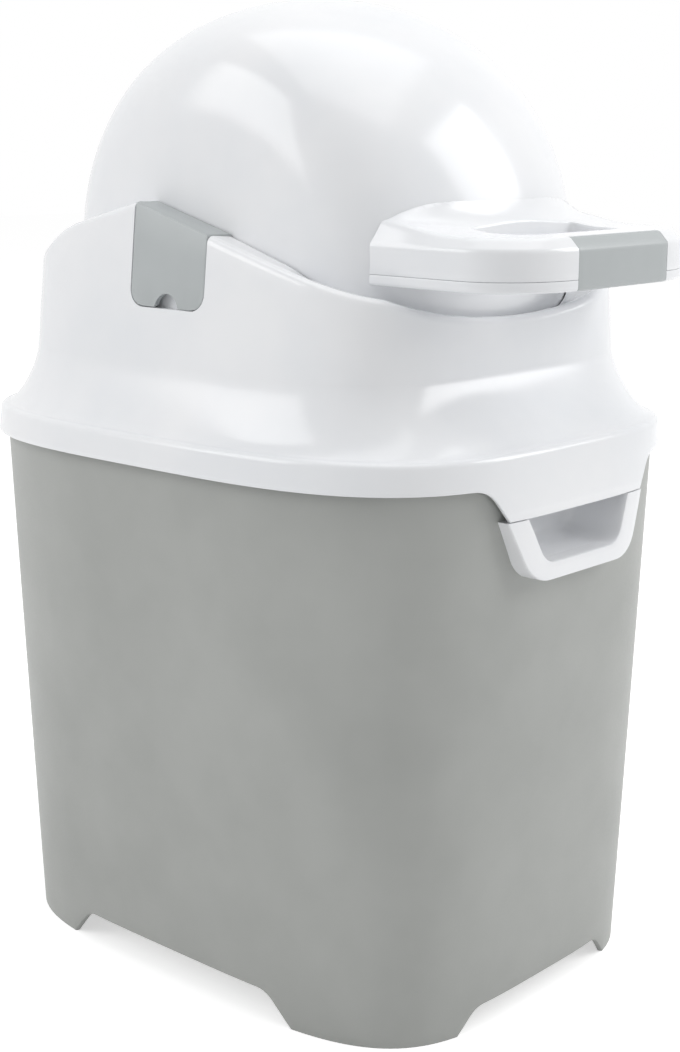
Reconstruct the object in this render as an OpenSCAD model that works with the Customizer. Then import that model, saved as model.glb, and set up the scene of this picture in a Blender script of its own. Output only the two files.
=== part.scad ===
// Nappy bin. A tapered bucket stands under a hinged hood, and a domed bowl turns
// in the hood: dome up it shuts the bin, mouth up it takes a nappy.
// +Z is up, -Y is the front with the handle, and X runs along the bowl's axle.
// The origin is on the floor, straight below the middle of that axle.

/* [Bucket] */
// Height of the bucket's rim above the floor
rim_h = 272; // [262:1:300]
// Length of the bucket at its rim, front to back
rim_len = 312; // [306:1:326]
// Width of the bucket at its rim
rim_wid = 251; // [246:1:262]
// How much shorter the bucket is at the floor
len_draft = 20; // [8:1:36]
// How much narrower the bucket is at the floor
wid_draft = 28; // [10:1:44]
// Thickness of the bucket's wall and floor
bucket_wall = 2.6; // [2:0.1:3.4]
// Height of the floor panel's underside above the ground
floor_lift = 19; // [18:1:30]
// Height of the arch between the feet on each long side
side_arch_h = 16; // [8:1:17]
// Flat length of that arch
side_arch_len = 118; // [60:1:150]
// Height of the arch between the feet at the front and back
end_arch_h = 12; // [6:1:16]
// Flat length of that arch
end_arch_len = 90; // [50:1:110]
// Height of the bag ring's sleeve inside the rim
ring_h = 7; // [4:0.5:9]

/* [Pull pocket] */
// Width of the pocket's frame along its top
frame_wid = 107; // [90:1:112]
// Height of the frame below the lobe
frame_h = 31; // [26:1:36]
// Width of the frame's arms
frame_arm = 14; // [10:1:18]
// Width of the frame's lower bar
frame_bar = 9; // [6:1:12]
// How far the pocket reaches into the bucket
pocket_deep = 22; // [14:1:28]

/* [Hood] */
// Thickness of the hood's walls
hood_wall = 2.5; // [2:0.1:3]
// Clearance between the skirt and the rim, front and back
skirt_gap = 1.2; // [1.1:0.1:2]
// Clearance between the skirt and the rim at the sides
side_gap = 3.2; // [1:0.1:5]
// How far the skirt hangs below the rim
skirt_drop = 6; // [4:1:9]
// How far the front lobe hangs below the skirt
lobe_drop = 15.5; // [12:0.5:18]
// Width of the lobe along its lower edge
lobe_wid = 104; // [80:1:110]
// Height of the skirt's crease above the rim
crease_rise = 8.7; // [7:0.1:12]
// Height of the curved shoulder between crease and collar
shoulder_h = 30; // [24:1:36]
// Width of the channel beside the bowl that holds the pivots
channel_w = 16; // [14:0.5:20]
// Height of the collar's peak above the axle
peak_rise = 24; // [20:0.5:28]
// Fall of the collar's edge for each millimetre towards the front
front_fall = 0.275; // [0.2:0.005:0.3]
// Fall of the collar's edge for each millimetre towards the back
back_fall = 0.25; // [0.2:0.005:0.3]
// Dip in the middle of the collar's front edge
front_dip = 9.5; // [8:0.5:14]
// Dip of the collar's back wall
back_dip = 8; // [8:0.5:14]

/* [Bowl] */
// Radius of the bowl about its axle, at the middle
bowl_r = 119.4; // [112:0.1:122]
// Half the bowl's width along its axle
bowl_half = 89.4; // [80:0.1:92]
// Height of the axle above the rim
axle_rise = 89.7; // [88:0.1:96]
// Thickness of the bowl's outer shell
shell_wall = 2.4; // [2:0.1:3]
// Distance between the outer shell and the inner bowl
liner_gap = 7.5; // [6:0.5:9]
// Thickness of the inner bowl
liner_wall = 2; // [1.6:0.1:2.6]
// Distance of the mouth's rim beyond the axle
mouth_drop = 48; // [44:1:52]
// Clearance between the bowl and the hood round it
seat_gap = 1.2; // [0.8:0.1:2]

/* [Pivots] */
// Radius of the axle stubs
axle_r = 9; // [7:0.5:10]
// Running clearance of the stubs in their bushes, on the radius
axle_gap = 0.05; // [0.02:0.01:0.1]
// Wall of the bushes
bush_wall = 2.5; // [2:0.1:3]
// Width of a clip
clip_wid = 50; // [44:1:56]
// Height of a clip's plate below the axle
clip_low = 24.5; // [16:0.5:28]
// Thickness of a clip's plate
clip_wall = 2.6; // [2:0.1:3]
// Radius of the finger notch in a clip
notch_r = 8; // [5:0.5:9]

/* [Handle] */
// Reach of the handle from the axle to its front face
hand_reach = 179; // [170:1:188]
// Half the handle's width
hand_half = 76; // [70:1:80]
// Height of the handle's underside below the axle
hand_drop = 9.7; // [8:0.1:12]
// Height of the handle's upright edge
hand_edge = 18; // [16:0.5:20]
// Height of the lower shell
base_h = 5; // [4:0.5:6]
// Rise of the bevel along the handle's edge
bevel = 5; // [3:0.5:6]
// Rise of the handle's top from its bar to the bowl
root_rise = 6; // [3:0.5:8]
// Rise of the ridge where the handle runs up the bowl
ridge_rise = 15; // [10:1:18]
// Width of the hand opening
hole_wid = 78; // [70:1:84]
// Depth of the front bar
bar_deep = 25; // [20:1:28]
// Length of the grip insert
grip_len = 70; // [56:1:74]

/* [Hinge] */
// Radius of the hinge knuckles
knuckle_r = 5.5; // [5:0.5:7]
// Radius of the hinge pin
pin_r = 2.5; // [2:0.1:3]
// Length of the whole hinge
hinge_len = 90; // [70:1:110]
// Clearance between facing pieces
gap = 0.3; // [0.2:0.05:0.4]

/* [Hidden] */

SIDES = 72;
ROUND = 48;
CROWN_STEPS = 12;
far = 400;
over = 1;

axle_z = rim_h + axle_rise;
crease_z = rim_h + crease_rise;
collar_z = crease_z + shoulder_h;
skirt_z = rim_h - skirt_drop;
lobe_z = skirt_z - lobe_drop;
thin_wall = 2;
pin_gap = 0.05;

function mix(a, b, u) = a + (b - a) * u;
function smooth(u) = let (c = max(0, min(1, u))) c * c * (3 - 2 * c);
function mirrored(half) = concat(half, [for (k = [len(half) - 1:-1:0]) [-half[k][0], half[k][1]]]);

// Superellipse of half width a along X, half length b along Y and power p, in SIDES points
// that crowd toward its corners and run anticlockwise from the middle of the back.
crowd = 80;
function octant(f, p) = let (u = pow(2, -1 / p) * sin(crowd * f) / sin(crowd)) [pow(1 - pow(u, p), 1 / p), u];
function quadrant(f, p) = f < 1 ? octant(f, p) : let (o = octant(2 - f, p)) [o[1], o[0]];
function on_outline(a, b, p, i) =
    let (steps = SIDES / 4, q = floor(i / steps), s = quadrant(2 * (i - q * steps + 0.5) / steps, p))
    [a * [-s[1], -s[0], s[1], s[0]][q], b * [s[0], -s[1], -s[0], s[1]][q]];
function flat_ring(a, b, p, z) = [for (i = [0:SIDES - 1]) [each on_outline(a, b, p, i), z]];

// Closed solid through a stack of rings whose points i and n-1-i mirror each other in X.
module loft(rings) {
    n = len(rings[0]);
    top = (len(rings) - 1) * n;
    sides = [for (k = [0:len(rings) - 2], i = [0:n - 1])
        let (a = k * n + i, b = k * n + (i + 1) % n)
        each [[a, a + n, b], [b, a + n, b + n]]];
    low_cap = [for (i = [0:n / 2 - 2]) [i, i + 1, n - 2 - i, n - 1 - i]];
    high_cap = [for (f = low_cap) [for (j = [3:-1:0]) top + f[j]]];
    polyhedron(points = [for (r = rings) each r], faces = concat(sides, low_cap, high_cap), convexity = 6);
}

module slab(z0, z1) translate([-far, -far, z0]) cube([2 * far, 2 * far, z1 - z0]);

module along_x(x0, x1, y, z, r)
    translate([x0, y, z])
        rotate([0, 90, 0])
            cylinder(r = r, h = x1 - x0, $fn = ROUND);

// Outline in X and Z carried through Y from y0 to y1.
module through_y(outline, y0, y1)
    translate([0, y1, 0])
        rotate([90, 0, 0])
            linear_extrude(y1 - y0)
                polygon(outline);

// Outline in Y and Z carried through X from x0 to x1.
module through_x(outline, x0, x1)
    translate([x0, 0, 0])
        rotate([90, 0, 90])
            linear_extrude(x1 - x0)
                polygon(outline);

module both_sides() {
    children();
    mirror([1, 0, 0]) children();
}

// Bucket

base_pow = 4;
rim_pow = 3.55;
arch_round = 13;
arch_slant = 47;
hinge_y = rim_len / 2 + skirt_gap + hood_wall + knuckle_r + 2.5;
hinge_z = skirt_z - knuckle_r - 2.5;
knuckle_len = 18;

function bucket_x(z) = rim_wid / 2 - wid_draft / 2 * (1 - z / rim_h);
function bucket_y(z) = rim_len / 2 - len_draft / 2 * (1 - z / rim_h);
function bucket_ring(z, inset) =
    flat_ring(bucket_x(z) - inset, bucket_y(z) - inset, mix(base_pow, rim_pow, z / rim_h), z);

module bucket_solid(z0, z1, inset) loft([bucket_ring(z0, inset), bucket_ring(z1, inset)]);

// Arch between two feet: flat top, rounded shoulders and slanting sides.
function arch(flat_len, h) =
    let (r = min(arch_round, h), drop = r * (1 - cos(arch_slant)), out = flat_len / 2 + r * sin(arch_slant))
    mirrored(concat([for (k = [0:4]) let (a = arch_slant * k / 4) [flat_len / 2 + r * sin(a), h - r * (1 - cos(a))]],
        [[out + (h - drop + over) / tan(arch_slant), -over]]));

module bucket_knuckle() {
    x0 = hinge_len / 2 - knuckle_len;
    root = bucket_y(hinge_z - knuckle_r) - bucket_wall / 2;
    along_x(x0, hinge_len / 2, hinge_y, hinge_z, knuckle_r);
    translate([x0, root, hinge_z - knuckle_r])
        cube([knuckle_len, hinge_y - root, knuckle_r + 1]);
}

module bucket() color("#a6a8a5")
    difference() {
        union() {
            bucket_solid(0, rim_h, 0);
            both_sides() bucket_knuckle();
        }
        bucket_solid(floor_lift + bucket_wall, rim_h + over, bucket_wall);
        bucket_solid(-over, floor_lift, bucket_wall);
        through_x(arch(side_arch_len, side_arch_h), -far, far);
        through_y(arch(end_arch_len, end_arch_h), -far, far);
        pocket_prism(thin_wall + gap, -far, -bucket_y(0) / 2);
        along_x(-hinge_len, hinge_len, hinge_y, hinge_z, pin_r + pin_gap);
    }

// Pull pocket: a moulding in a window of the front wall, with a frame round its mouth
// that stands flush with the hood's lobe. Fingers reach in and up behind the lobe.

cup_slant = 22;
pocket_roof = 9;
pocket_round = 9;
frame_round = 16;
frame_low = lobe_z - frame_h;

// Cup-shaped outline with slanting sides below the lobe, straight sides up to top.
function cup(half, low, r, top) =
    let (a = cup_slant, mid = half - (r + (lobe_z - low - r) * sin(a)) / cos(a))
    mirrored(concat([[half, top], [half, lobe_z]],
        [for (k = [0:5]) let (f = a + (90 - a) * k / 5) [mid + r * cos(f), low + r - r * sin(f)]]));

module pocket_prism(grow, y0, y1)
    through_y(cup(frame_wid / 2 - frame_arm + grow, frame_low + frame_bar - grow, pocket_round + grow,
        lobe_z + pocket_roof + grow), y0, y1);

module pull_pocket() color("#f4f5f7")
    difference() {
        union() {
            difference() {
                intersection() {
                    through_y(cup(frame_wid / 2, frame_low, frame_round, lobe_z + over), -far, 0);
                    loft([for (z = [frame_low - over, lobe_z - gap]) skirt_ring(z, 0)]);
                }
                bucket_solid(0, rim_h, -gap / 2);
            }
            pocket_prism(thin_wall, -bucket_y(lobe_z), -bucket_y(lobe_z) + pocket_deep);
        }
        pocket_prism(0, -far, -bucket_y(lobe_z) + pocket_deep - thin_wall);
    }

// Bag ring: its sleeve spreads the bag inside the rim, its flange lies on the rim.

flange_h = 2;
flange_in = 8.5;

module bag_ring() color("#e9ebec")
    difference() {
        union() {
            bucket_solid(rim_h - ring_h, rim_h + over, bucket_wall + gap);
            loft([for (z = [rim_h, rim_h + flange_h]) bucket_ring_at_rim(z, gap)]);
        }
        bucket_solid(rim_h - ring_h - over, rim_h, bucket_wall + gap + thin_wall);
        loft([for (z = [rim_h - over, rim_h + flange_h + over]) bucket_ring_at_rim(z, flange_in)]);
    }

function bucket_ring_at_rim(z, inset) = flat_ring(rim_wid / 2 - inset, rim_len / 2 - inset, rim_pow, z);

module hinge_pin() color("#c9ccce")
    along_x(-hinge_len / 2, hinge_len / 2, hinge_y, hinge_z, pin_r);

// Hood

skirt_pow = 3.45;
collar_pow = 5;
shoulder_pow = 1.4;
skirt_lean = 0.09;
lean_x = 0.1;
lean_y = 0.04;
skirt_x = rim_wid / 2 + side_gap + hood_wall;
skirt_y = rim_len / 2 + skirt_gap + hood_wall;
collar_x = bowl_half + seat_gap + channel_w;
collar_y = bowl_r + seat_gap + hood_wall;
crease_round = 3;
edge_round = 4;
dip_half = 85;
dip_from = 80;
back_dip_from = 72;
dip_run = 40;
deck_in = 14;
deck_fall = 5;
deck_fall_from = 60;
deck_fall_run = 30;

function skirt_point(i, z, inset) =
    let (lean = skirt_lean * (z - skirt_z) + inset)
    on_outline(skirt_x - lean, skirt_y - lean, skirt_pow, i);
function skirt_ring(z, inset) = [for (i = [0:SIDES - 1]) [each skirt_point(i, z, inset), z]];
function collar_point(i, z, inset) =
    on_outline(collar_x - lean_x * (z - axle_z) - inset, collar_y - lean_y * (z - axle_z) - inset, collar_pow, i);

// Height of the collar's edge: a gable that peaks behind the clips and dips at both ends.
peak_y = collar_point(SIDES * 3 / 4 + 1, axle_z, 0)[1];
function edge_z(p) =
    let (y = p[1], fall = front_fall * (peak_y - min(y, peak_y)) + back_fall * max(0, y - peak_y),
        middle = max(0, 1 - pow(p[0] / dip_half, 2)))
    axle_z + peak_rise - fall
        - front_dip * middle * smooth((-y - dip_from) / dip_run)
        - back_dip * smooth((y - back_dip_from) / dip_run);

function collar_ring(u, inset, drop, wall) = [for (i = [0:SIDES - 1])
    let (top = edge_z(collar_point(i, axle_z, 0)), z = mix(collar_z, top - edge_round, u))
    [each collar_point(i, z, inset + wall), (u < 1 ? z : top - drop) - wall]];

function shoulder_ring(a, wall) = [for (i = [0:SIDES - 1])
    let (out = 1 - pow(sin(a), 2 / shoulder_pow), up = 1 - pow(cos(a), 2 / shoulder_pow),
        low = skirt_point(i, crease_z, crease_round + wall), high = collar_point(i, collar_z, wall))
    [each mix(high, low, out), crease_z + up * shoulder_h - wall]];

function deck_ring(wall) = [for (i = [0:SIDES - 1])
    let (p = collar_point(i, axle_z, deck_in), edge = edge_z(collar_point(i, axle_z, 0)))
    [p[0], p[1], edge - deck_fall * smooth((abs(p[1]) - deck_fall_from) / deck_fall_run) - wall]];

// Solid inside the hood's outer face, set in by wall all round.
module hood_solid(wall)
    loft(concat([skirt_ring(lobe_z - wall, wall), skirt_ring(crease_z - crease_round - wall, wall)],
        [for (a = [0:18:90]) shoulder_ring(a, wall)],
        [collar_ring(0.5, 0, 0, wall), collar_ring(1, 0, edge_round, wall),
        collar_ring(1, edge_round * 0.3, edge_round * 0.3, wall), collar_ring(1, edge_round, 0, wall), deck_ring(wall)]));

// Region below the skirt's edge that the lobe doesn't fill.
lobe_slope = 46;
lobe_round = 8;

module below_skirt() {
    half = lobe_wid / 2;
    drop = lobe_round * (1 - cos(lobe_slope));
    foot = half + (lobe_drop - drop) / tan(lobe_slope);
    out = foot + lobe_round * sin(lobe_slope);
    edge = concat([[0, lobe_z], [half, lobe_z]],
        [for (k = [0:4]) let (a = lobe_slope * (1 - k / 4)) [out - lobe_round * sin(a), skirt_z - lobe_round * (1 - cos(a))]],
        [[far, skirt_z], [far, lobe_z - far / 4], [0, lobe_z - far / 4]]);
    both_sides() through_y(edge, -far, 0);
    translate([-far, 0, lobe_z - far / 4])
        cube([2 * far, far, skirt_z - lobe_z + far / 4]);
}

strip_in = 3.6;
strip_w = 3.6;
strip_top = crease_z - hood_wall - gap;
seat_z = axle_z - 37;
bracket_half = 17;
bracket_low = 28.5;
bracket_top = axle_z + 3;
bracket_x = collar_x - lean_x * (bracket_top - axle_z) - clip_wall - gap;
bush_x = bowl_half + seat_gap + 0.5;
bush_r = axle_r + axle_gap + bush_wall;
boss_x = bowl_half + 3.6;
boss_y = collar_y - 31;
boss_r = 4.2;
screw_r = 1.9;
screw_len = 12;
head_r = 3.6;
head_h = 2.2;
clip_round = 8.5;

function clip_outline(inset) =
    let (low = axle_z - clip_low + inset, half = clip_wid / 2 - inset, r = clip_round - inset)
    mirrored(concat([[half, axle_z + far / 4]],
        [for (k = [0:5]) let (a = 90 * k / 5) [half - r + r * cos(a), low + r - r * sin(a)]]));

module pivot_bracket()
    difference() {
        union() {
            translate([bowl_half, -bracket_half, axle_z - bracket_low])
                cube([bracket_x - bowl_half, 2 * bracket_half, bracket_low + bracket_top - axle_z]);
            translate([bowl_half, -clip_wid / 2, axle_z - bracket_low])
                cube([seat_gap + thin_wall, clip_wid, bracket_low + bracket_top - axle_z]);
        }
        along_x(bowl_half - over, collar_x, 0, axle_z, bush_r + pin_gap);
        translate([bowl_half - over, -bush_r - pin_gap, axle_z])
            cube([collar_x, 2 * (bush_r + pin_gap), far]);
    }

module at_bosses() both_sides()
    for (side = [-1, 1])
        translate([boss_x, side * boss_y, 0])
            children();

module hood_arm() {
    inner = skirt_y - hood_wall;
    x1 = hinge_len / 2 - knuckle_len - gap;
    difference() {
        union() {
            along_x(-x1, x1, hinge_y, hinge_z, knuckle_r);
            through_x([[inner, crease_z - crease_round], [inner, hinge_z + 2], [hinge_y, hinge_z - knuckle_r + 1],
                [hinge_y + knuckle_r - 1, hinge_z + 1], [skirt_y, crease_z - 2 * crease_round]], -x1, x1);
        }
        along_x(-far, far, hinge_y, hinge_z, pin_r + pin_gap);
    }
}

// Ring above the bag ring's flange.
module rim_strip(z0, z1)
    difference() {
        loft([for (z = [z0, z1]) bucket_ring_at_rim(z, strip_in)]);
        loft([for (z = [z0 - over, z1 + over]) bucket_ring_at_rim(z, strip_in + strip_w)]);
    }

module hood() color("#f6f7f9") {
    difference() {
        hood_solid(0);
        difference() {
            hood_solid(hood_wall);
            rim_strip(strip_top, collar_z);
            intersection() {
                drum(seat_gap + hood_wall);
                slab(seat_z, far * 2);
            }
            at_bosses() translate([0, 0, seat_z]) cylinder(r = boss_r, h = far, $fn = ROUND);
        }
        drum(seat_gap);
        at_bosses() translate([0, 0, seat_z - over]) cylinder(r = screw_r + pin_gap, h = screw_len + over, $fn = ROUND);
        below_skirt();
        both_sides() {
            through_x(clip_outline(0), bracket_x, far);
            translate([0, -clip_wid / 2, bracket_top]) cube([far, clip_wid, far]);
            translate([bowl_half, -bracket_half, axle_z - bracket_low / 2]) cube([channel_w, 2 * bracket_half, far]);
        }
    }
    difference() {
        both_sides() pivot_bracket();
        drum(seat_gap);
    }
    hood_arm();
}

// Seals: a strip under the shoulder lies on the bag ring, and a lip round the bowl
// is held in the groove of a carrier that also closes the hood's double wall.

seal_wall = 2.6;
seal_h = 8;
carrier_h = 2.4;
groove = 0.1;

module rim_seal() color("#d5d7d8") rim_strip(rim_h + flange_h + gap, strip_top);

module seal_carrier() color("#eceeef")
    difference() {
        union() {
            loft([for (z = [seat_z - carrier_h, seat_z])
                [for (i = [0:SIDES - 1]) [each collar_point(i, seat_z, hood_wall + gap), z]]]);
            intersection() {
                drum(gap + seal_wall + thin_wall);
                slab(seat_z - seal_h - thin_wall, seat_z);
            }
        }
        intersection() {
            drum(gap + seal_wall + groove);
            slab(seat_z - seal_h - groove, seat_z + over);
        }
        drum(seat_gap);
        at_bosses() translate([0, 0, seat_z - far / 4]) cylinder(r = screw_r + gap, h = far / 2, $fn = ROUND);
    }

module bowl_seal() color("#9b9ea0")
    intersection() {
        difference() {
            drum(gap + seal_wall);
            drum(gap);
        }
        slab(seat_z - seal_h, seat_z - groove);
    }

module screw(len)
    rotate_extrude($fn = ROUND)
        polygon([[0, 0], [head_r - 0.6, 0], [head_r, 0.6], [head_r, head_h], [screw_r, head_h],
            [screw_r, head_h + len - 1], [screw_r - 0.8, head_h + len], [0, head_h + len]]);

module carrier_screws() color("#b9bcbf")
    at_bosses() translate([0, 0, seat_z - carrier_h - head_h]) screw(screw_len + carrier_h - over);

// Pivots: the axle stubs turn in bushes that drop into the brackets' slots, and
// each clip slides down over the wall and keeps its bush in the slot.

module bush() color("#dfe1e2")
    difference() {
        along_x(bush_x, bracket_x - gap, 0, axle_z, bush_r);
        along_x(0, far, 0, axle_z, axle_r + axle_gap);
    }

module bush_right() bush();
module bush_left() mirror([1, 0, 0]) bush();

// The hood's side between its gable's ends, set in by wall, from its outline at y.
function side_outline(y, wall) =
    let (top = edge_z([collar_x, y]), low = axle_z - clip_low - over,
        edge = [[0, low], [0, top - edge_round], [edge_round * 0.3, top - edge_round * 0.3], [edge_round, top]])
    concat([[bowl_half / 2, y, low - wall], [bowl_half / 2, y, top - wall]],
        [for (k = [3:-1:0]) let (q = edge[k])
            [collar_x - lean_x * (min(q[1], top - edge_round) - axle_z) - q[0] - wall, y, q[1] - wall]]);

module hood_side(wall) {
    ends = [side_outline(-clip_wid / 2, wall), side_outline(clip_wid / 2, wall)];
    n = len(ends[0]);
    polyhedron(points = concat(ends[0], ends[1]), faces = concat([[for (i = [0:n - 1]) i], [for (i = [n - 1:-1:0]) n + i]],
        [for (i = [0:n - 1]) let (j = (i + 1) % n) [i, i + n, j + n, j]]));
}

module clip() color("#adb2b3")
    difference() {
        union() {
            intersection() {
                difference() {
                    hood_side(0);
                    hood_side(clip_wall);
                }
                through_x(clip_outline(gap), bowl_half, far);
            }
            intersection() {
                hood_side(clip_wall / 2);
                translate([bush_x, gap - bush_r, axle_z])
                    cube([bracket_x - gap - bush_x, 2 * (bush_r - gap), far]);
            }
        }
        along_x(0, bracket_x, 0, axle_z, bush_r + gap / 2);
        drum(seat_gap);
        along_x(bowl_half, far, 0, axle_z - clip_low, notch_r);
    }

module clip_right() clip();
module clip_left() mirror([1, 0, 0]) clip();

// Bowl: solids of revolution about the axle, cut off at the mouth.

crown_side_pow = 1.49;
crown_rim_pow = 6.8;
hub_r = 24;
lip_h = 1.5;
web_h = 5;
mouth_z = axle_z - mouth_drop;

function crown(k, r, w) =
    let (a = 90 * k / CROWN_STEPS)
    [r * pow(sin(a), 2 / crown_rim_pow), w * pow(cos(a), 2 / crown_side_pow)];

// The crowned drum that the bowl sweeps, grown by g.
module drum(g) {
    half = concat([[0, bowl_half + g], [hub_r, bowl_half + g]],
        [for (k = [1:CROWN_STEPS]) crown(k, bowl_r + g, bowl_half + g)]);
    last = len(half) - 2;
    translate([0, 0, axle_z])
        rotate([0, 90, 0])
            rotate_extrude($fn = SIDES)
                polygon(concat(half, [for (k = [last:-1:0]) [half[k][0], -half[k][1]]]));
}

module drum_shell(outer, inner, z0, z1)
    intersection() {
        difference() {
            drum(outer);
            drum(inner);
        }
        slab(z0, z1);
    }

module bowl_shell() color("#f6f7f9")
    difference() {
        drum_shell(0, -shell_wall, mouth_z, far * 2);
        along_x(-far, far, 0, axle_z, axle_r + pin_gap);
    }

module bowl_liner() color("#eef0f1")
    drum_shell(-shell_wall - liner_gap, -shell_wall - liner_gap - liner_wall, mouth_z, far * 2);

module mouth_ring() color("#f6f7f9") {
    drum_shell(0, -shell_wall - liner_gap - liner_wall, mouth_z - lip_h, mouth_z);
    drum_shell(-shell_wall - groove, -shell_wall - liner_gap + groove, mouth_z - lip_h / 2, mouth_z + web_h);
}

flange_r = 20;
flange_x = bowl_half - shell_wall - pin_gap;

module axle() color("#dfe1e2") {
    along_x(flange_x - 2.5, flange_x, 0, axle_z, flange_r);
    along_x(flange_x - 1, bracket_x - 2 * gap, 0, axle_z, axle_r);
}

module axle_right() axle();
module axle_left() mirror([1, 0, 0]) axle();

// Handle: two shells that meet along the edge, and a grip let into the front bar.

hand_low = axle_z - hand_drop;
part_z = hand_low + base_h;
corner_run = 33;
bar_half = 32;
root_y = 60;
rise_from = 140;
rise_run = 45;
hand_wall = 2.4;
grip_wall = 3;
hole_round = 12;
hole_back = bowl_r + 3.6;
hole_front = hand_reach - bar_deep;

function hand_half_ring(inset) = concat([[inset - hand_half, -root_y]],
    [for (k = [0:8]) let (a = 90 * k / 8)
        [(inset + bar_half - hand_half) * cos(a) - bar_half, corner_run - hand_reach - (corner_run - inset) * sin(a)]]);
function hand_ring(inset, z) = [for (p = mirrored(hand_half_ring(inset))) [p[0], p[1], z]];
function hand_top_ring(inset, z) = [for (p = mirrored(hand_half_ring(inset)))
    [p[0], p[1], z + root_rise * smooth((p[1] + rise_from) / rise_run)]];

module hand_solid(inset)
    loft([hand_ring(inset + 1, hand_low + inset), hand_ring(inset, hand_low + inset + 1),
        hand_ring(inset, hand_low + hand_edge - inset / 2), hand_top_ring(inset + bevel, hand_low + hand_edge + bevel - inset)]);

// Cove that carries the handle's top up the bowl, lens-shaped seen from the front.
ridge_half = 74;
ridge_run = 13;
ridge_pow = 3;

module ridge() {
    base = hand_low + hand_edge + bevel;
    foot = bowl_r + 9;
    cove = [for (k = [0:6]) let (a = 15 * k) [ridge_run * sin(a) - foot, base + ridge_rise * (1 - cos(a))]];
    lens = mirrored([for (k = [0:10]) let (a = 8.6 * k)
        [ridge_half * pow(cos(a), 2 / ridge_pow), base - 2 * bevel + (ridge_rise + 2 * bevel) * pow(sin(a), 2 / ridge_pow)]]);
    intersection() {
        through_x(concat(cove, [[-root_y, base + ridge_rise], [-root_y, base - bevel], [-foot, base - bevel]]),
            -ridge_half, ridge_half);
        through_y(lens, -far, 0);
    }
}

module hand_hole(grow) {
    half = hole_wid / 2 + grow;
    front = hole_front + grow;
    back = hole_back - grow;
    r = hole_round + grow;
    outline = mirrored(concat([[half, -back]],
        [for (k = [0:6]) let (a = 15 * k) [half - r + r * cos(a), r - front - r * sin(a)]]));
    translate([0, 0, hand_low - far / 8])
        linear_extrude(far / 2)
            polygon(outline);
}

module at_hand_bosses() both_sides()
    for (y = [-hole_back + 10, corner_run - hand_reach])
        translate([(hole_wid / 2 + hand_half) / 2, y, 0])
            children();

module grip_space(grow)
    difference() {
        translate([-grip_len / 2 - grow, -hand_reach - over, hand_low - over])
            cube([grip_len + 2 * grow, bevel + 1.5 + over + grow, hand_edge + 2 * bevel]);
        hand_solid(grip_wall + grow);
    }

module handle_top() color("#f6f7f9")
    difference() {
        union() {
            hand_solid(0);
            ridge();
        }
        difference() {
            hand_solid(hand_wall);
            hand_hole(hand_wall);
            drum(hand_wall);
            at_hand_bosses() translate([0, 0, part_z]) cylinder(r = boss_r, h = far, $fn = ROUND);
            grip_space(grip_wall);
        }
        slab(-far, part_z);
        drum(gap / 2);
        hand_hole(0);
        grip_space(gap / 2);
        at_hand_bosses() cylinder(r = screw_r + pin_gap, h = part_z + screw_len, $fn = ROUND);
    }

module handle_base() color("#f6f7f9")
    difference() {
        hand_solid(0);
        slab(part_z - groove, far * 2);
        difference() {
            translate([0, 0, -hand_wall]) hand_solid(hand_wall);
            slab(-far, hand_low + hand_wall);
            hand_hole(hand_wall);
            drum(hand_wall);
            at_hand_bosses() cylinder(r = boss_r, h = far * 2, $fn = ROUND);
            grip_space(grip_wall);
        }
        drum(gap / 2);
        hand_hole(0);
        grip_space(gap / 2);
        at_hand_bosses() {
            cylinder(r = screw_r + gap, h = far * 2, $fn = ROUND);
            cylinder(r = head_r + gap, h = hand_low + head_h, $fn = ROUND);
        }
    }

module grip_insert() color("#adb2b3")
    intersection() {
        grip_space(0);
        hand_solid(0);
    }

module handle_screws() color("#b9bcbf")
    at_hand_bosses() translate([0, 0, hand_low]) screw(screw_len);

bucket();
pull_pocket();
bag_ring();
hinge_pin();
hood();
rim_seal();
seal_carrier();
bowl_seal();
carrier_screws();
bush_left();
bush_right();
clip_left();
clip_right();
bowl_shell();
bowl_liner();
mouth_ring();
axle_left();
axle_right();
handle_top();
handle_base();
grip_insert();
handle_screws();
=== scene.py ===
"""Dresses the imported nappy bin: smooth moulded shells, their finishes, the studio and the camera.

Sizes are millimetres unless a name says otherwise, and become metres where vertices are placed.
"""

from __future__ import annotations

import logging
import math
from collections.abc import Callable, Iterable, Sequence
from dataclasses import dataclass, field
from enum import Enum

import bmesh
import bpy
from mathutils import Matrix, Vector

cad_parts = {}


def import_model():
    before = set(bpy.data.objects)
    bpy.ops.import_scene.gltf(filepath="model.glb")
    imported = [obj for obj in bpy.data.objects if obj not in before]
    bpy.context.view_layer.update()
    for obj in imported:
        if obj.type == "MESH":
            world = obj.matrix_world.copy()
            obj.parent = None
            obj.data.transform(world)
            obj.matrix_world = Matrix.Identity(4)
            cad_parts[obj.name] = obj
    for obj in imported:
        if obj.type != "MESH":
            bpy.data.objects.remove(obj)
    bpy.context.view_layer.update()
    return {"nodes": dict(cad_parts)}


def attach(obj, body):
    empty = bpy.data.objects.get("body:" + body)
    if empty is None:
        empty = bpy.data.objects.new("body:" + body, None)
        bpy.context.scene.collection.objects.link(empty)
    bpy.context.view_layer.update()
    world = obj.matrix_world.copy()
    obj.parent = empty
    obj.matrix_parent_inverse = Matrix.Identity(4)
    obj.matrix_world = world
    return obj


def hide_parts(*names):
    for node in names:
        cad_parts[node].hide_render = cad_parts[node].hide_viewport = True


LOG = logging.getLogger("nappy_bin")
MM = 0.001
FAR = 400.0
TINY = 1e-6

Point = tuple[float, float, float]
Plan = tuple[float, float]
Piece = bpy.types.Object


def smooth_step(value: float) -> float:
    """Return 0 below 0, 1 above 1, and an eased value between."""
    held = max(0.0, min(1.0, value))
    return held * held * (3 - 2 * held)


def mix(start: float, end: float, share: float) -> float:
    """Return the value that lies share of the way from start to end."""
    return start + (end - start) * share


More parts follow.
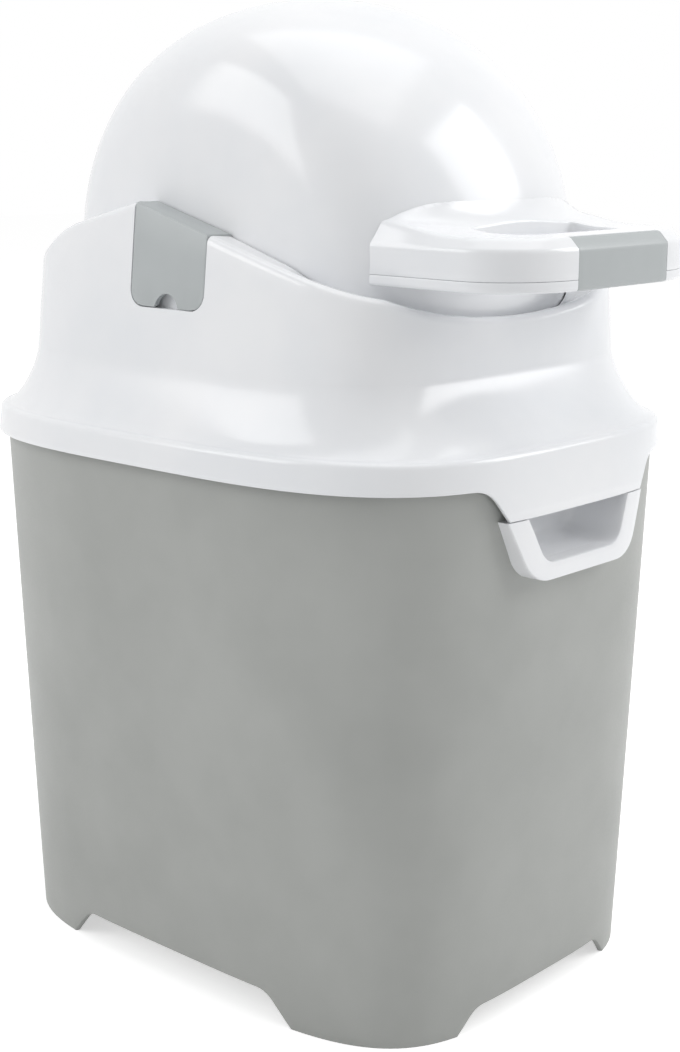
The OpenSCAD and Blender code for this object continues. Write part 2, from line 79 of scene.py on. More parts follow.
def mix_plan(start: Plan, end: Plan, share: float) -> Plan:
    """Return the plan point that lies share of the way from start to end."""
    return mix(start[0], end[0], share), mix(start[1], end[1], share)


def spread(start: float, end: float, count: int) -> list[float]:
    """Return evenly spaced values from start to end, both included."""
    return [mix(start, end, k / (count - 1)) for k in range(count)]


def flip_point(crossed: Callable[[float], bool], low: float, high: float) -> float:
    """Find where a test flips between two values.

    Args:
        crossed: Test that is False at low and True at high.
        low: Value where the test is False.
        high: Value where the test is True.

    Returns:
        The value at which the test flips.
    """
    for _ in range(34):
        middle = (low + high) / 2
        if crossed(middle):
            high = middle
        else:
            low = middle
    return (low + high) / 2


class Side(Enum):
    """Sides of an outline: first and last turn, the axis that runs along it, and its sense."""

    LEFT = (1, 3, 1, -1)
    FRONT = (3, 5, 0, 1)
    RIGHT = (5, 7, 1, 1)
    BACK = (7, 9, 0, -1)


@dataclass(frozen=True)
class Outline:
    """Superellipse in plan. A turn runs from 0 at the middle of the back, anticlockwise, to 8."""

    half_x: float
    half_y: float
    power: float
    crowd: float = 80.0

    def _octant(self, along: float) -> Plan:
        """Return the main and cross shares of a point between an axis and the diagonal."""
        diagonal = 2 ** (-1 / self.power)
        cross = diagonal * math.sin(math.radians(self.crowd * along)) / math.sin(math.radians(self.crowd))
        return (1 - abs(cross) ** self.power) ** (1 / self.power), cross

    def at(self, turn: float) -> Plan:
        """Return the point of the outline at a turn."""
        quarter, along = int(turn // 2) % 4, turn % 2
        if along < 1:
            main, cross = self._octant(along)
        else:
            cross, main = self._octant(2 - along)
        share = [(-cross, main), (-main, -cross), (cross, -main), (main, cross)][quarter]
        return self.half_x * share[0], self.half_y * share[1]

    def turn_at(self, side: Side, place: float) -> float:
        """Return the turn on one side where the coordinate along that side has a value."""
        first, last, axis, sense = side.value
        return flip_point(lambda turn: sense * self.at(turn)[axis] > sense * place, first, last) % 8

    def front(self, x: float) -> float:
        """Return the Y of the outline's front side at an x."""
        return -self.half_y * (1 - min(1.0, abs(x) / self.half_x) ** self.power) ** (1 / self.power)

    def flank(self, y: float) -> float:
        """Return the positive X of the outline's side at a y."""
        return self.half_x * (1 - min(1.0, abs(y) / self.half_y) ** self.power) ** (1 / self.power)


def merged_turns(per_quarter: int, special: Iterable[float], clear: float) -> list[float]:
    """Return even turns and special ones in walking order.

    Args:
        per_quarter: Number of even turns in each quarter.
        special: Turns that have to be there.
        clear: Even turns nearer than this to a special one are left out.

    Returns:
        Turns from 0 to 8.
    """
    fixed = sorted(special)
    even = [2 * (k + 0.5) / per_quarter for k in range(4 * per_quarter)]
    kept = [turn for turn in even if all(abs(turn - other) > clear for other in fixed)]
    return sorted(kept + fixed)


def deselect_all() -> None:
    """Leave no object selected, so that an operator acts only on what is meant."""
    for item in bpy.context.selected_objects:
        item.select_set(False)


def make_active(piece: Piece) -> None:
    """Select one object alone and make it the active one."""
    deselect_all()
    piece.select_set(True)
    bpy.context.view_layer.objects.active = piece


def apply_modifier(piece: Piece, kind: str, **settings: object) -> None:
    """Add a modifier, set it and apply it at once.

    Args:
        piece: Object to change.
        kind: Blender's name of the modifier type.
        **settings: Values for the modifier's own properties.
    """
    make_active(piece)
    modifier = piece.modifiers.new(kind.title(), kind)
    for name, value in settings.items():
        setattr(modifier, name, value)
    bpy.ops.object.modifier_apply(modifier=modifier.name)


def carve(piece: Piece, cutter: Piece, operation: str = "DIFFERENCE") -> None:
    """Cut one solid with another, or fuse them, and delete the second."""
    apply_modifier(piece, "BOOLEAN", object=cutter, operation=operation, solver="EXACT")
    bpy.data.objects.remove(cutter)


def clean_cuts(piece: Piece) -> None:
    """Split a cut piece's many-sided faces, weld its seams and drop faces that lie back to back."""
    make_active(piece)
    bpy.ops.object.mode_set(mode="EDIT")
    bpy.ops.mesh.select_all(action="DESELECT")
    bpy.ops.mesh.select_face_by_sides(number=4, type="GREATER")
    bpy.ops.mesh.quads_convert_to_tris(quad_method="BEAUTY", ngon_method="BEAUTY")
    bpy.ops.mesh.select_all(action="SELECT")
    bpy.ops.mesh.remove_doubles(threshold=TINY)
    bpy.ops.mesh.dissolve_degenerate(threshold=TINY)
    mesh = bmesh.from_edit_mesh(piece.data)
    sharing: dict[frozenset[bmesh.types.BMVert], list[bmesh.types.BMFace]] = {}
    for face in mesh.faces:
        sharing.setdefault(frozenset(face.verts), []).append(face)
    flaps = [face for faces in sharing.values() if len(faces) > 1 for face in faces]
    bmesh.ops.delete(mesh, geom=flaps, context="FACES")
    bpy.ops.mesh.select_all(action="DESELECT")
    bpy.ops.object.mode_set(mode="OBJECT")


def shade(piece: Piece, angle: float = 32.0) -> None:
    """Shade smooth, with edges sharper than an angle in degrees kept crisp."""
    make_active(piece)
    bpy.ops.object.shade_smooth_by_angle(angle=math.radians(angle))


class LoopModel:
    """A mesh grown in edit mode from one ring of edges, loop by loop."""

    def __init__(self, name: str, loop: Sequence[Point]) -> None:
        """Start from a circle primitive with one vertex for each point of the first loop."""
        deselect_all()
        bpy.ops.mesh.primitive_circle_add(vertices=len(loop), radius=MM, fill_type="NOTHING")
        self.piece = bpy.context.active_object
        self.piece.name = name
        self.piece.data.name = name
        self.start = list(loop)
        self.first = list(range(len(loop)))
        self.last = list(self.first)
        bpy.ops.object.mode_set(mode="EDIT")
        self._place(loop)

    def _mesh(self) -> bmesh.types.BMesh:
        """Return the edit mesh with its indices and lookup table ready."""
        mesh = bmesh.from_edit_mesh(self.piece.data)
        mesh.verts.index_update()
        mesh.verts.ensure_lookup_table()
        return mesh

    def _place(self, loop: Sequence[Point]) -> None:
        """Move the open end's vertices to a loop's points."""
        mesh = self._mesh()
        for index, point in zip(self.last, loop):
            mesh.verts[index].co = Vector(point) * MM

    def grow(self, loop: Sequence[Point]) -> None:
        """Extrude the open end and move the new vertices to the next loop."""
        bpy.ops.mesh.extrude_region_move()
        mesh = self._mesh()
        self.last = [
            next(other.index for edge in mesh.verts[index].link_edges
                 if (other := edge.other_vert(mesh.verts[index])).select)
            for index in self.last
        ]
        self._place(loop)

    def close_round(self) -> Piece:
        """Bring the end back to the first loop, weld it there and return the piece."""
        self.grow(self.start)
        bpy.ops.mesh.select_all(action="SELECT")
        bpy.ops.mesh.remove_doubles(threshold=TINY)
        return self._finish()

    def cap_ends(self) -> Piece:
        """Fill the first and the last loop with a face each and return the piece."""
        for ring in (self.first, self.last):
            bpy.ops.mesh.select_all(action="DESELECT")
            mesh = self._mesh()
            for index in ring:
                mesh.verts[index].select = True
            mesh.select_flush(True)
            bpy.ops.mesh.edge_face_add()
        return self._finish()

    def leave_open(self) -> Piece:
        """Return the piece with both ends open."""
        return self._finish()

    def _finish(self) -> Piece:
        """Point the faces outwards, leave edit mode and return the piece."""
        bpy.ops.mesh.select_all(action="SELECT")
        bpy.ops.mesh.normals_make_consistent(inside=False)
        bpy.ops.mesh.select_all(action="DESELECT")
        bpy.ops.object.mode_set(mode="OBJECT")
        return self.piece


def grown(name: str, loops: Sequence[Sequence[Point]]) -> LoopModel:
    """Return a model grown through a list of loops."""
    model = LoopModel(name, loops[0])
    for loop in loops[1:]:
        model.grow(loop)
    return model


def prism(name: str, outline: Sequence[Point], sweep: Point) -> Piece:
    """Return a closed solid: a flat outline carried along a sweep."""
    far_end = [tuple(Vector(point) + Vector(sweep)) for point in outline]
    return grown(name, [outline, far_end]).cap_ends()


def box_cutter(name: str, low: Point, high: Point) -> Piece:
    """Return a box between two corners, as a tool for cutting."""
    outline = [(low[0], low[1], low[2]), (high[0], low[1], low[2]), (high[0], high[1], low[2]), (low[0], high[1], low[2])]
    return prism(name, outline, (0, 0, high[2] - low[2]))


def round_cutter(name: str, x0: float, x1: float, y: float, z: float, radius: float, sides: int = 48) -> Piece:
    """Return a rod along X, as a tool for cutting."""
    outline = [(x0, y + radius * math.cos(math.tau * k / sides), z + radius * math.sin(math.tau * k / sides))
               for k in range(sides)]
    return prism(name, outline, (x1 - x0, 0, 0))


def both_hands(outline: Sequence[Point], side: int) -> list[Point]:
    """Return an outline on the right for side 1 or mirrored to the left for side -1."""
    return [(side * x, y, z) for x, y, z in outline]




@dataclass(frozen=True)
class Ground:
    """The dimensions that several sub-assemblies share."""

    rim_h: float = 272.0
    rim_x: float = 125.5
    rim_y: float = 156.0
    axle_z: float = 361.7
    skirt_z: float = 266.0
    lobe_z: float = 250.5
    crease_z: float = 280.7
    hinge_y: float = 167.7
    hinge_z: float = 258.0
    knuckle_r: float = 5.5
    gap: float = 0.3
    clip_low: float = 24.5

    def skirt(self, z: float, inset: float = 0.0) -> Outline:
        """Return the hood's skirt outline at a height; the pull pocket's frame lies on it too."""
        lean = 0.09 * (z - self.skirt_z) + inset
        return Outline(self.rim_x + 5.7 - lean, self.rim_y + 3.7 - lean, 3.45)

    def bucket(self, z: float, inset: float = 0.0) -> Outline:
        """Return the bucket's outline at a height; its corners soften towards the rim."""
        share = z / self.rim_h
        return Outline(self.rim_x - 14 * (1 - share) - inset, self.rim_y - 10 * (1 - share) - inset, mix(4, 3.55, share))

    def collar(self, z: float, inset: float = 0.0) -> Outline:
        """Return the hood's upper outline at a height."""
        up = z - self.axle_z
        return Outline(106.6 - 0.1 * up - inset, 123.1 - 0.04 * up - inset, 5)


GROUND = Ground()


@dataclass(frozen=True)
class Drum:
    """The crowned drum that the bowl sweeps about its axle."""

    radius: float = 119.4
    half: float = 89.4
    side_power: float = 1.49
    rim_power: float = 6.8
    ease: float = 8.0

    def share(self, point: Point, grow: float) -> float:
        """Return below 1 inside the drum grown by a distance, and above 1 outside."""
        half = self.half + grow
        eased = (math.hypot(point[0], self.ease) - self.ease) * half / (math.hypot(half, self.ease) - self.ease)
        radial = math.hypot(point[1], point[2] - GROUND.axle_z) / (self.radius + grow)
        return radial**self.rim_power + (eased / half) ** self.side_power

    def holds(self, point: Point, grow: float) -> bool:
        """Return whether a point is inside the drum grown by a distance."""
        return self.share(point, grow) < 1

    def rim_radius(self, x: float, grow: float) -> float:
        """Return the drum's radius about the axle at an x."""
        return flip_point(lambda r: not self.holds((x, r, GROUND.axle_z), grow), 0.0, self.radius + grow + 1)

    def section(self, grow: float, count: int) -> list[Plan]:
        """Return (x, radius) pairs from one hub to the other, evenly spaced along the profile."""
        half = self.half + grow
        fine = [(half * math.cos(math.pi * k / 1200)) for k in range(1, 1200)]
        dense = [(x, self.rim_radius(x, grow)) for x in fine]
        dense = [(half, 2.0)] + [p for p in dense if p[1] > 2.0] + [(-half, 2.0)]
        run = [0.0]
        for before, after in zip(dense, dense[1:]):
            run.append(run[-1] + math.dist(before, after))
        picked, at = [], 0
        for want in spread(0, run[-1], count):
            while at < len(run) - 2 and run[at + 1] < want:
                at += 1
            share = (want - run[at]) / max(TINY, run[at + 1] - run[at])
            picked.append(mix_plan(dense[at], dense[at + 1], min(1.0, share)))
        return picked

    def plan_edge(self, angle: float, z: float, grow: float) -> Plan:
        """Return the plan point of the drum's edge at a height, seen from the middle at an angle."""
        aim = (math.cos(angle), math.sin(angle))
        reach = flip_point(lambda r: not self.holds((r * aim[0], r * aim[1], z), grow), 0.0, 200.0)
        return reach * aim[0], reach * aim[1]

    def turned(self, name: str, grow: float, around: int, along: int) -> LoopModel:
        """Return the drum's skin, grown ring by ring along the axle."""
        loops = [
            [(x, radius * math.cos(math.tau * k / around), GROUND.axle_z + radius * math.sin(math.tau * k / around))
             for k in range(around)]
            for x, radius in self.section(grow, along)
        ]
        return grown(name, loops)


DRUM = Drum()


@dataclass
class Bucket:
    """The tapered bucket with its arched feet, window and hinge knuckles."""

    wall: float = 2.6
    floor_under: float = 19.0
    floor_top: float = 21.6
    side_arch: Plan = (59.0, 16.0)
    end_arch: Plan = (45.0, 12.0)
    arch_round: float = 13.0
    arch_slant: float = math.radians(47)
    knuckle_x: Plan = (27.0, 45.0)

    def arch_marks(self, arch: Plan) -> list[float]:
        """Return the distances from an arch's middle where its edge changes."""
        half, height = arch
        radius = min(self.arch_round, height)
        shoulder = half + radius * math.sin(self.arch_slant)
        toe = shoulder + (height - radius * (1 - math.cos(self.arch_slant))) / math.tan(self.arch_slant)
        bends = [half + radius * math.sin(self.arch_slant * k / 5) for k in range(6)]
        return [half - 6] + bends + [mix(shoulder, toe, 0.33), mix(shoulder, toe, 0.66), toe - 0.4, toe, toe + 0.5]

    def arch_height(self, arch: Plan, place: float) -> float:
        """Return the height of an arch's edge at a distance from its middle."""
        half, height = arch
        radius = min(self.arch_round, height)
        shoulder = half + radius * math.sin(self.arch_slant)
        if abs(place) <= half:
            return height
        if abs(place) <= shoulder:
            return height - radius + math.sqrt(radius**2 - (abs(place) - half) ** 2)
        foot = height - radius * (1 - math.cos(self.arch_slant))
        return max(0.0, foot - (abs(place) - shoulder) * math.tan(self.arch_slant))

    def turns(self) -> list[float]:
        """Return the turns at which the wall is modelled."""
        base = GROUND.bucket(8)
        marks = []
        for side, arch in ((Side.LEFT, self.side_arch), (Side.RIGHT, self.side_arch),
                           (Side.FRONT, self.end_arch), (Side.BACK, self.end_arch)):
            for mark in self.arch_marks(arch):
                marks += [base.turn_at(side, mark), base.turn_at(side, -mark)]
        return merged_turns(34, marks, 0.035)

    def low_edge(self, turn: float) -> float:
        """Return the height of the wall's lower edge at a turn."""
        x, y = GROUND.bucket(8).at(turn)
        on_flank = 1 < turn % 4 < 3
        return self.arch_height(self.side_arch, y) if on_flank else self.arch_height(self.end_arch, x)

    def wall_model(self) -> Piece:
        """Build the wall, rim, floor and arched base as one closed shell."""
        turns = self.turns()
        low = [self.low_edge(turn) for turn in turns]
        rim = GROUND.rim_h

        def ring(inset: float, height: Callable[[float], float]) -> list[Point]:
            """Return a loop at an inset, with a height worked out from each lower edge."""
            return [(*GROUND.bucket(height(edge), inset).at(turn), height(edge)) for turn, edge in zip(turns, low)]

        loops = [ring(self.wall, lambda edge: self.floor_under)]
        loops += [ring(self.wall, lambda edge: edge + 1.4), ring(self.wall - 0.2, lambda edge: edge + 0.3),
                  ring(self.wall - 0.6, lambda edge: edge), ring(0.5, lambda edge: edge),
                  ring(0.15, lambda edge: edge + 0.2), ring(0, lambda edge: edge + 0.7)]
        loops += [ring(0, lambda edge, s=s: mix(edge + 0.7, rim - 1.4, s)) for s in (0.02, 0.06, 0.14, 0.3, 0.5, 0.7, 0.86, 0.95, 1)]
        loops += [ring(i, lambda edge, z=z: rim - z) for i, z in ((0.2, 0.6), (0.7, 0.1), (1.3, 0), (1.9, 0.1), (2.4, 0.6), (2.6, 1.4))]
        loops += [ring(2.6, lambda edge, z=z: z) for z in (200, 120, 60, self.floor_top + 6)]
        loops += [ring(2.6 + i, lambda edge, z=z: self.floor_top + z) for i, z in ((0.8, 3), (2.8, 0.9), (6, 0))]
        return grown("bucket_shell", loops).cap_ends()

    def knuckle(self, side: int) -> Piece:
        """Build one hinge knuckle that stands out from the back wall."""
        root, low = GROUND.bucket(250).half_y - 1.2, GROUND.hinge_z - GROUND.knuckle_r
        x0, x1 = self.knuckle_x
        arc = [(GROUND.hinge_y + GROUND.knuckle_r * math.sin(math.pi * k / 14),
                GROUND.hinge_z - GROUND.knuckle_r * math.cos(math.pi * k / 14)) for k in range(15)]
        profile = [(root, low + 8), (root, low - 3), (root + 3, low - 0.3)] + arc + [(root + 4, low + 11)]
        piece = prism("bucket_knuckle", [(side * x0, y, z) for y, z in profile], (side * (x1 - x0), 0, 0))
        apply_modifier(piece, "BEVEL", width=0.5 * MM, segments=2, limit_method="ANGLE", angle_limit=math.radians(60))
        return piece

    def build(self) -> Piece:
        """Build the bucket, with its window cut and its knuckles fused on."""
        bucket = self.wall_model()
        window = PullPocket().mouth(1.4, 11)
        carve(bucket, prism("window_tool", [(x, -FAR, z) for x, z in window], (0, FAR - 80, 0)))
        for side in (-1, 1):
            carve(bucket, self.knuckle(side), "UNION")
        clean_cuts(bucket)
        shade(bucket)
        return bucket


@dataclass
class PullPocket:
    """The white moulding in the front wall: a frame flush with the hood's lobe, and a scoop behind it."""

    frame_half: float = 53.5
    frame_low: float = 220.5
    frame_round: float = 19.0
    mouth_half: float = 39.5
    mouth_low: float = 228.5
    mouth_round: float = 11.0
    slant: float = math.radians(26)
    roof: float = 9.0
    depth: float = 21.0

    def cup(self, half: float, low: float, radius: float) -> list[Plan]:
        """Return the right half of a cup outline in (x, z), from the lobe's edge down to the middle."""
        mid = half - (radius + (GROUND.lobe_z - low - radius) * math.sin(self.slant)) / math.cos(self.slant)
        bend = [self.slant + (math.pi / 2 - self.slant) * k / 9 for k in range(10)]
        arc = [(mid + radius * math.cos(a), low + radius - radius * math.sin(a)) for a in bend]
        side = [(mix(half, arc[0][0], k / 6), mix(GROUND.lobe_z - GROUND.gap, arc[0][1], k / 6)) for k in range(6)]
        return side + arc + [(mid * (1 - k / 6), low) for k in range(1, 6)]

    def across(self, half_line: Sequence[Plan]) -> list[Plan]:
        """Return a half outline joined to its mirror image, from left to right."""
        low_middle = [(0.0, half_line[-1][1])]
        return [(-x, z) for x, z in half_line] + low_middle + [p for p in reversed(half_line)]

    def mouth(self, grow: float, over: float) -> list[Plan]:
        """Return the window's closed outline in (x, z), grown all round, with its roof."""
        line = self.across(self.cup(self.mouth_half + grow, self.mouth_low - grow, self.mouth_round + grow))
        top = GROUND.lobe_z + over
        return line + [(self.mouth_half + grow, top), (-self.mouth_half - grow, top)]

    def frame(self) -> Piece:
        """Build the frame by carrying its rounded section round the cup's outline."""
        outer = self.across(self.cup(self.frame_half, self.frame_low, self.frame_round))
        inner = self.across(self.cup(self.mouth_half, self.mouth_low, self.mouth_round))
        loops = []
        for begin, end in zip(outer, inner):
            width = math.dist(begin, end)
            steps = [(0, 8), (0, 2.5), (0, 0.9), (0.1, 0.45), (0.35, 0.1), (0.9, 0), (width * 0.33, 0), (width * 0.66, 0),
                     (width - 0.9, 0), (width - 0.35, 0.1), (width - 0.1, 0.45), (width, 0.9), (width, 2.5), (width, 8)]
            loop = []
            for along, back in steps:
                x, z = mix_plan(begin, end, along / width)
                front = GROUND.skirt(z).front(x)
                wall = GROUND.bucket(z).front(x)
                loop.append((x, min(front + back, wall + 1.2) if back < 8 else wall + 1.2, z))
            loops.append(loop)
        piece = grown("pull_frame", loops).cap_ends()
        shade(piece, 40)
        return piece

    def scoop(self) -> Piece:
        """Build the scoop that fingers reach into, with a soft corner round its back wall."""
        loops = []
        for back, shrink in ((0.2, 0.02), (1.2, 0.1), (7, 0.5), (12, 1.0), (15, 1.6), (17.6, 2.7), (19.4, 4.3), (20.4, 6.3), (21, 8.6)):
            line = self.mouth(-shrink, self.roof - shrink)
            top = [mix_plan(line[-2], line[-1], k / 10) for k in range(11)]
            sides = [mix_plan(line[-3], line[-2], k / 3) for k in (1, 2)]
            other = [mix_plan(line[-1], line[0], k / 3) for k in (1, 2)]
            loop = []
            for x, z in line[:-2] + sides + top + other:
                loop.append((x, GROUND.bucket(z).front(x) + back, z))
            loops.append(loop)
        back_wall = loops[-1]
        middle = (0.0, sum(p[1] for p in back_wall) / len(back_wall), sum(p[2] for p in back_wall) / len(back_wall))
        loops.append([tuple(Vector(p).lerp(Vector(middle), 0.5)) for p in back_wall])
        model = grown("pull_scoop", loops)
        bpy.ops.mesh.edge_face_add()
        piece = model.leave_open()
        apply_modifier(piece, "SOLIDIFY", thickness=1.1 * MM, offset=1 if self._faces_out(piece) else -1, use_even_offset=True)
        shade(piece, 50)
        return piece

    @staticmethod
    def _faces_out(piece: Piece) -> bool:
        """Return whether the scoop's back wall faces the inside of the bucket."""
        deepest = max(piece.data.polygons, key=lambda face: face.center.y)
        return deepest.normal.y > 0

    def build(self) -> list[Piece]:
        """Build the frame and the scoop."""
        return [self.frame(), self.scoop()]


@dataclass
class Hood:
    """The white hood: lobed skirt, coved shoulder, gabled collar and the seat round the bowl."""

    wall: float = 2.5
    crease_round: float = 3.0
    shoulder_h: float = 30.0
    cove_power: float = 2 / 1.4
    edge_round: float = 4.0
    seat_z: float = 324.7
    seat_gap: float = 0.7
    lobe_half: float = 52.0
    lobe_slope: float = math.radians(52)
    lobe_round: float = 16.0
    lobe_marks: tuple[float, ...] = (5, 15, 25, 34, 41, 47, 50.4, 52, 53.6, 55, 56.5, 58.2, 60, 62, 64, 66, 68, 70.2, 73, 78)

    def lobe_edge(self, x: float) -> float:
        """Return the height of the skirt's lower edge at the front."""
        away, slope, radius = abs(x), self.lobe_slope, self.lobe_round
        drop = radius * (1 - math.cos(slope))
        foot = self.lobe_half + (GROUND.skirt_z - GROUND.lobe_z - drop) / math.tan(slope)
        out = foot + radius * math.sin(slope)
        if away <= self.lobe_half:
            return GROUND.lobe_z
        if away <= foot:
            return GROUND.lobe_z + (away - self.lobe_half) * math.tan(slope)
        if away < out:
            return GROUND.skirt_z - radius + math.sqrt(radius**2 - (out - away) ** 2)
        return GROUND.skirt_z

    @staticmethod
    def gable(point: Plan) -> float:
        """Return the height of the collar's edge: a gable behind the clips that dips at both ends."""
        x, y = point
        peak = 25.1
        fall = 0.275 * (peak - min(y, peak)) + 0.25 * max(0.0, y - peak)
        middle = max(0.0, 1 - (x / 85) ** 2)
        front = 9.5 * middle * smooth_step((-y - 80) / 40)
        return GROUND.axle_z + 24 - fall - front - 8 * smooth_step((y - 72) / 40)

    def edge_path(self, turn: float, along: float) -> Point:
        """Return a point of the path over the collar's rounded edge and on across the deck."""
        top = self.gable(GROUND.collar(GROUND.axle_z).at(turn))
        quarter = self.edge_round * math.pi / 2
        if along < quarter:
            angle = along / self.edge_round
            inset, z = self.edge_round * (1 - math.cos(angle)), top - self.edge_round * (1 - math.sin(angle))
        else:
            inset, z = self.edge_round + along - quarter, top
            inner = GROUND.collar(GROUND.axle_z, 14).at(turn)
            z -= 5 * smooth_step((abs(inner[1]) - 60) / 30) * min(1.0, (inset - self.edge_round) / 10)
        side_z = min(z, top - self.edge_round)
        return (*GROUND.collar(side_z, inset).at(turn), z)

    def deck_end(self, turn: float) -> float:
        """Return how far along the edge path the deck meets the bowl's clearance."""
        return flip_point(lambda s: DRUM.holds(self.edge_path(turn, s), self.seat_gap), 0.0, 70.0)

    def seat_point(self, turn: float, z: float) -> Point:
        """Return the seat wall's point at a height, straight in from a turn of the collar."""
        def point(inset: float) -> Point:
            """Return the point at an inset from the collar."""
            return (*GROUND.collar(GROUND.axle_z, inset).at(turn), z)
        return point(flip_point(lambda inset: DRUM.holds(point(inset), self.seat_gap), -4.0, 90.0))

    def cove(self, turn: float, degrees: float, wall: float) -> Point:
        """Return a point of the shoulder's cove between the skirt's crease and the collar."""
        angle = math.radians(degrees)
        out = 1 - math.sin(angle) ** self.cove_power
        up = 1 - math.cos(angle) ** self.cove_power
        low = GROUND.skirt(GROUND.crease_z, self.crease_round + wall).at(turn)
        high = GROUND.collar(GROUND.crease_z + self.shoulder_h, wall).at(turn)
        return (*mix_plan(high, low, out), GROUND.crease_z + up * self.shoulder_h - wall)

    def column(self, turn: float) -> list[Point]:
        """Return the hood's whole section at a turn: up the outside, over the edge, down the seat and back."""
        x, y = GROUND.skirt(258).at(turn)
        low = self.lobe_edge(x) if y < 0 else GROUND.skirt_z
        crease = GROUND.crease_z - self.crease_round
        top = self.gable(GROUND.collar(GROUND.axle_z).at(turn)) - self.edge_round
        collar_low = GROUND.crease_z + self.shoulder_h

        def skirt(z: float, inset: float) -> Point:
            """Return the skirt's point at a height and an inset."""
            return (*GROUND.skirt(z, inset).at(turn), z)

        points = [skirt(low, 1.7), skirt(low, 0.8), skirt(low + 0.2, 0.25), skirt(low + 0.8, 0)]
        points += [skirt(mix(low + 0.8, crease, s), 0) for s in (0.15, 0.4, 0.7, 1)]
        for degrees in (22.5, 45, 67.5, 90):
            angle = math.radians(degrees)
            points.append((*GROUND.skirt(crease, self.crease_round * (1 - math.cos(angle))).at(turn),
                           crease + self.crease_round * math.sin(angle)))
        points += [self.cove(turn, degrees, 0) for degrees in (7, 13, 20, 27, 34, 41, 48, 55, 62, 69, 76, 82, 87, 90)]
        points += [(*GROUND.collar(z, 0).at(turn), z) for z in (mix(collar_low, top, s) for s in (0.25, 0.5, 0.75, 1))]
        end = self.deck_end(turn)
        points += [self.edge_path(turn, (end - 1.1) * s) for s in (0.09, 0.18, 0.27, 0.36, 0.46, 0.6, 0.74, 0.87, 1)]
        lip = self.edge_path(turn, end)
        near = self.edge_path(turn, end - 0.35)
        points += [(near[0], near[1], near[2] - 0.12), self.seat_point(turn, lip[2] - 0.4)]
        points += [self.seat_point(turn, mix(lip[2] - 1.1, self.seat_z, s)) for s in (0, 0.2, 0.45, 0.7, 1)]
        inside = self.wall
        points += [(*GROUND.collar(z, inside).at(turn), z) for z in (self.seat_z, mix(self.seat_z, collar_low, 0.5))]
        points += [self.cove(turn, degrees, inside) for degrees in (90, 80, 68, 55, 42, 28, 14, 0)]
        points += [skirt(crease - inside, inside), skirt(mix(crease - inside, low + 0.4, 0.5), inside), skirt(low + 0.4, inside),
                   skirt(low, inside - 0.3)]
        return points

    def clip_window(self, side: int) -> list[Piece]:
        """Return the tools that open the hood for one clip, its bush and the axle."""
        half, low, radius = 25.0, GROUND.axle_z - GROUND.clip_low, 8.5
        arc = [(half - radius + radius * math.cos(math.pi / 2 * k / 8), low + radius - radius * math.sin(math.pi / 2 * k / 8))
               for k in range(9)]
        outline = [(half, GROUND.axle_z + 60)] + arc
        outline += [(-y, z) for y, z in reversed(outline)]
        front = prism("window_tool", both_hands([(103.35, y, z) for y, z in outline], side), (side * 40, 0, 0))
        top = prism("deck_tool", both_hands([(60, -half, 364.7), (60, half, 364.7), (60, half, 420), (60, -half, 420)], side),
                    (side * 90, 0, 0))
        slot_r, steps = 11.75, 16
        slot = [(slot_r * math.cos(math.pi * k / steps), GROUND.axle_z - slot_r * math.sin(math.pi * k / steps))
                for k in range(steps + 1)] + [(-slot_r, 420), (slot_r, 420)]
        return [front, top, prism("slot_tool", both_hands([(80, y, z) for y, z in slot], side), (side * 40, 0, 0))]

    def shell(self) -> Piece:
        """Build the hood's moulding and open it for the clips."""
        skirt = GROUND.skirt(258)
        marks = [skirt.turn_at(Side.FRONT, sign * mark) for mark in self.lobe_marks for sign in (-1, 1)]
        collar = GROUND.collar(GROUND.axle_z)
        for side in (Side.LEFT, Side.RIGHT):
            marks += [collar.turn_at(side, y) for y in (20.5, 23.4, 25.1, 26.8, 29.7)]
        columns = [self.column(turn) for turn in merged_turns(36, marks, 0.025)]
        hood = grown("hood_shell", [list(loop) for loop in zip(*columns)]).close_round()
        for side in (-1, 1):
            for tool in self.clip_window(side):
                carve(hood, tool)
        clean_cuts(hood)
        shade(hood, 30)
        return hood

    def hinge_arm(self) -> Piece:
        """Build the arm at the back that turns on the hinge pin."""
        y, z, radius = GROUND.hinge_y, GROUND.hinge_z, GROUND.knuckle_r
        arc = [(y + radius * math.sin(a), z - radius * math.cos(a)) for a in (math.pi * k / 16 for k in range(-2, 15))]
        profile = [(157.4, 277), (157.4, 260.5)] + arc + [(159.4, 275.5)]
        arm = prism("hinge_arm", [(-26.7, py, pz) for py, pz in profile], (53.4, 0, 0))
        apply_modifier(arm, "BEVEL", width=0.5 * MM, segments=2, limit_method="ANGLE", angle_limit=math.radians(60))
        shade(arm, 40)
        return arm

    def under_shoulder(self, turn: float, rib: Outline) -> float:
        """Return the height at which a rib's outline meets the inside of the shoulder."""
        def within(degrees: float) -> bool:
            """Return whether the cove's point lies inside the rib's outline."""
            x, y, _ = self.cove(turn, degrees, self.wall)
            return abs(x / rib.half_x) ** rib.power + abs(y / rib.half_y) ** rib.power < 1
        return self.cove(turn, flip_point(within, 0.0, 90.0), self.wall)[2]

    def seal_rib(self) -> Piece:
        """Build the rib under the shoulder that holds the rim seal."""
        loops = []
        for inset, z in ((3.6, None), (3.6, 278.4), (4.1, 277.9), (6.7, 277.9), (7.2, 278.4), (7.2, None)):
            outline = Outline(GROUND.rim_x - inset, GROUND.rim_y - inset, 3.55)
            loops.append([(*outline.at(turn), z or self.under_shoulder(turn, outline) + 0.8) for turn in merged_turns(24, [], 0)])
        rib = grown("seal_rib", loops).close_round()
        shade(rib)
        return rib

    def build(self) -> list[Piece]:
        """Build the moulding and the details that belong to it."""
        return [self.shell(), self.hinge_arm(), self.seal_rib()]


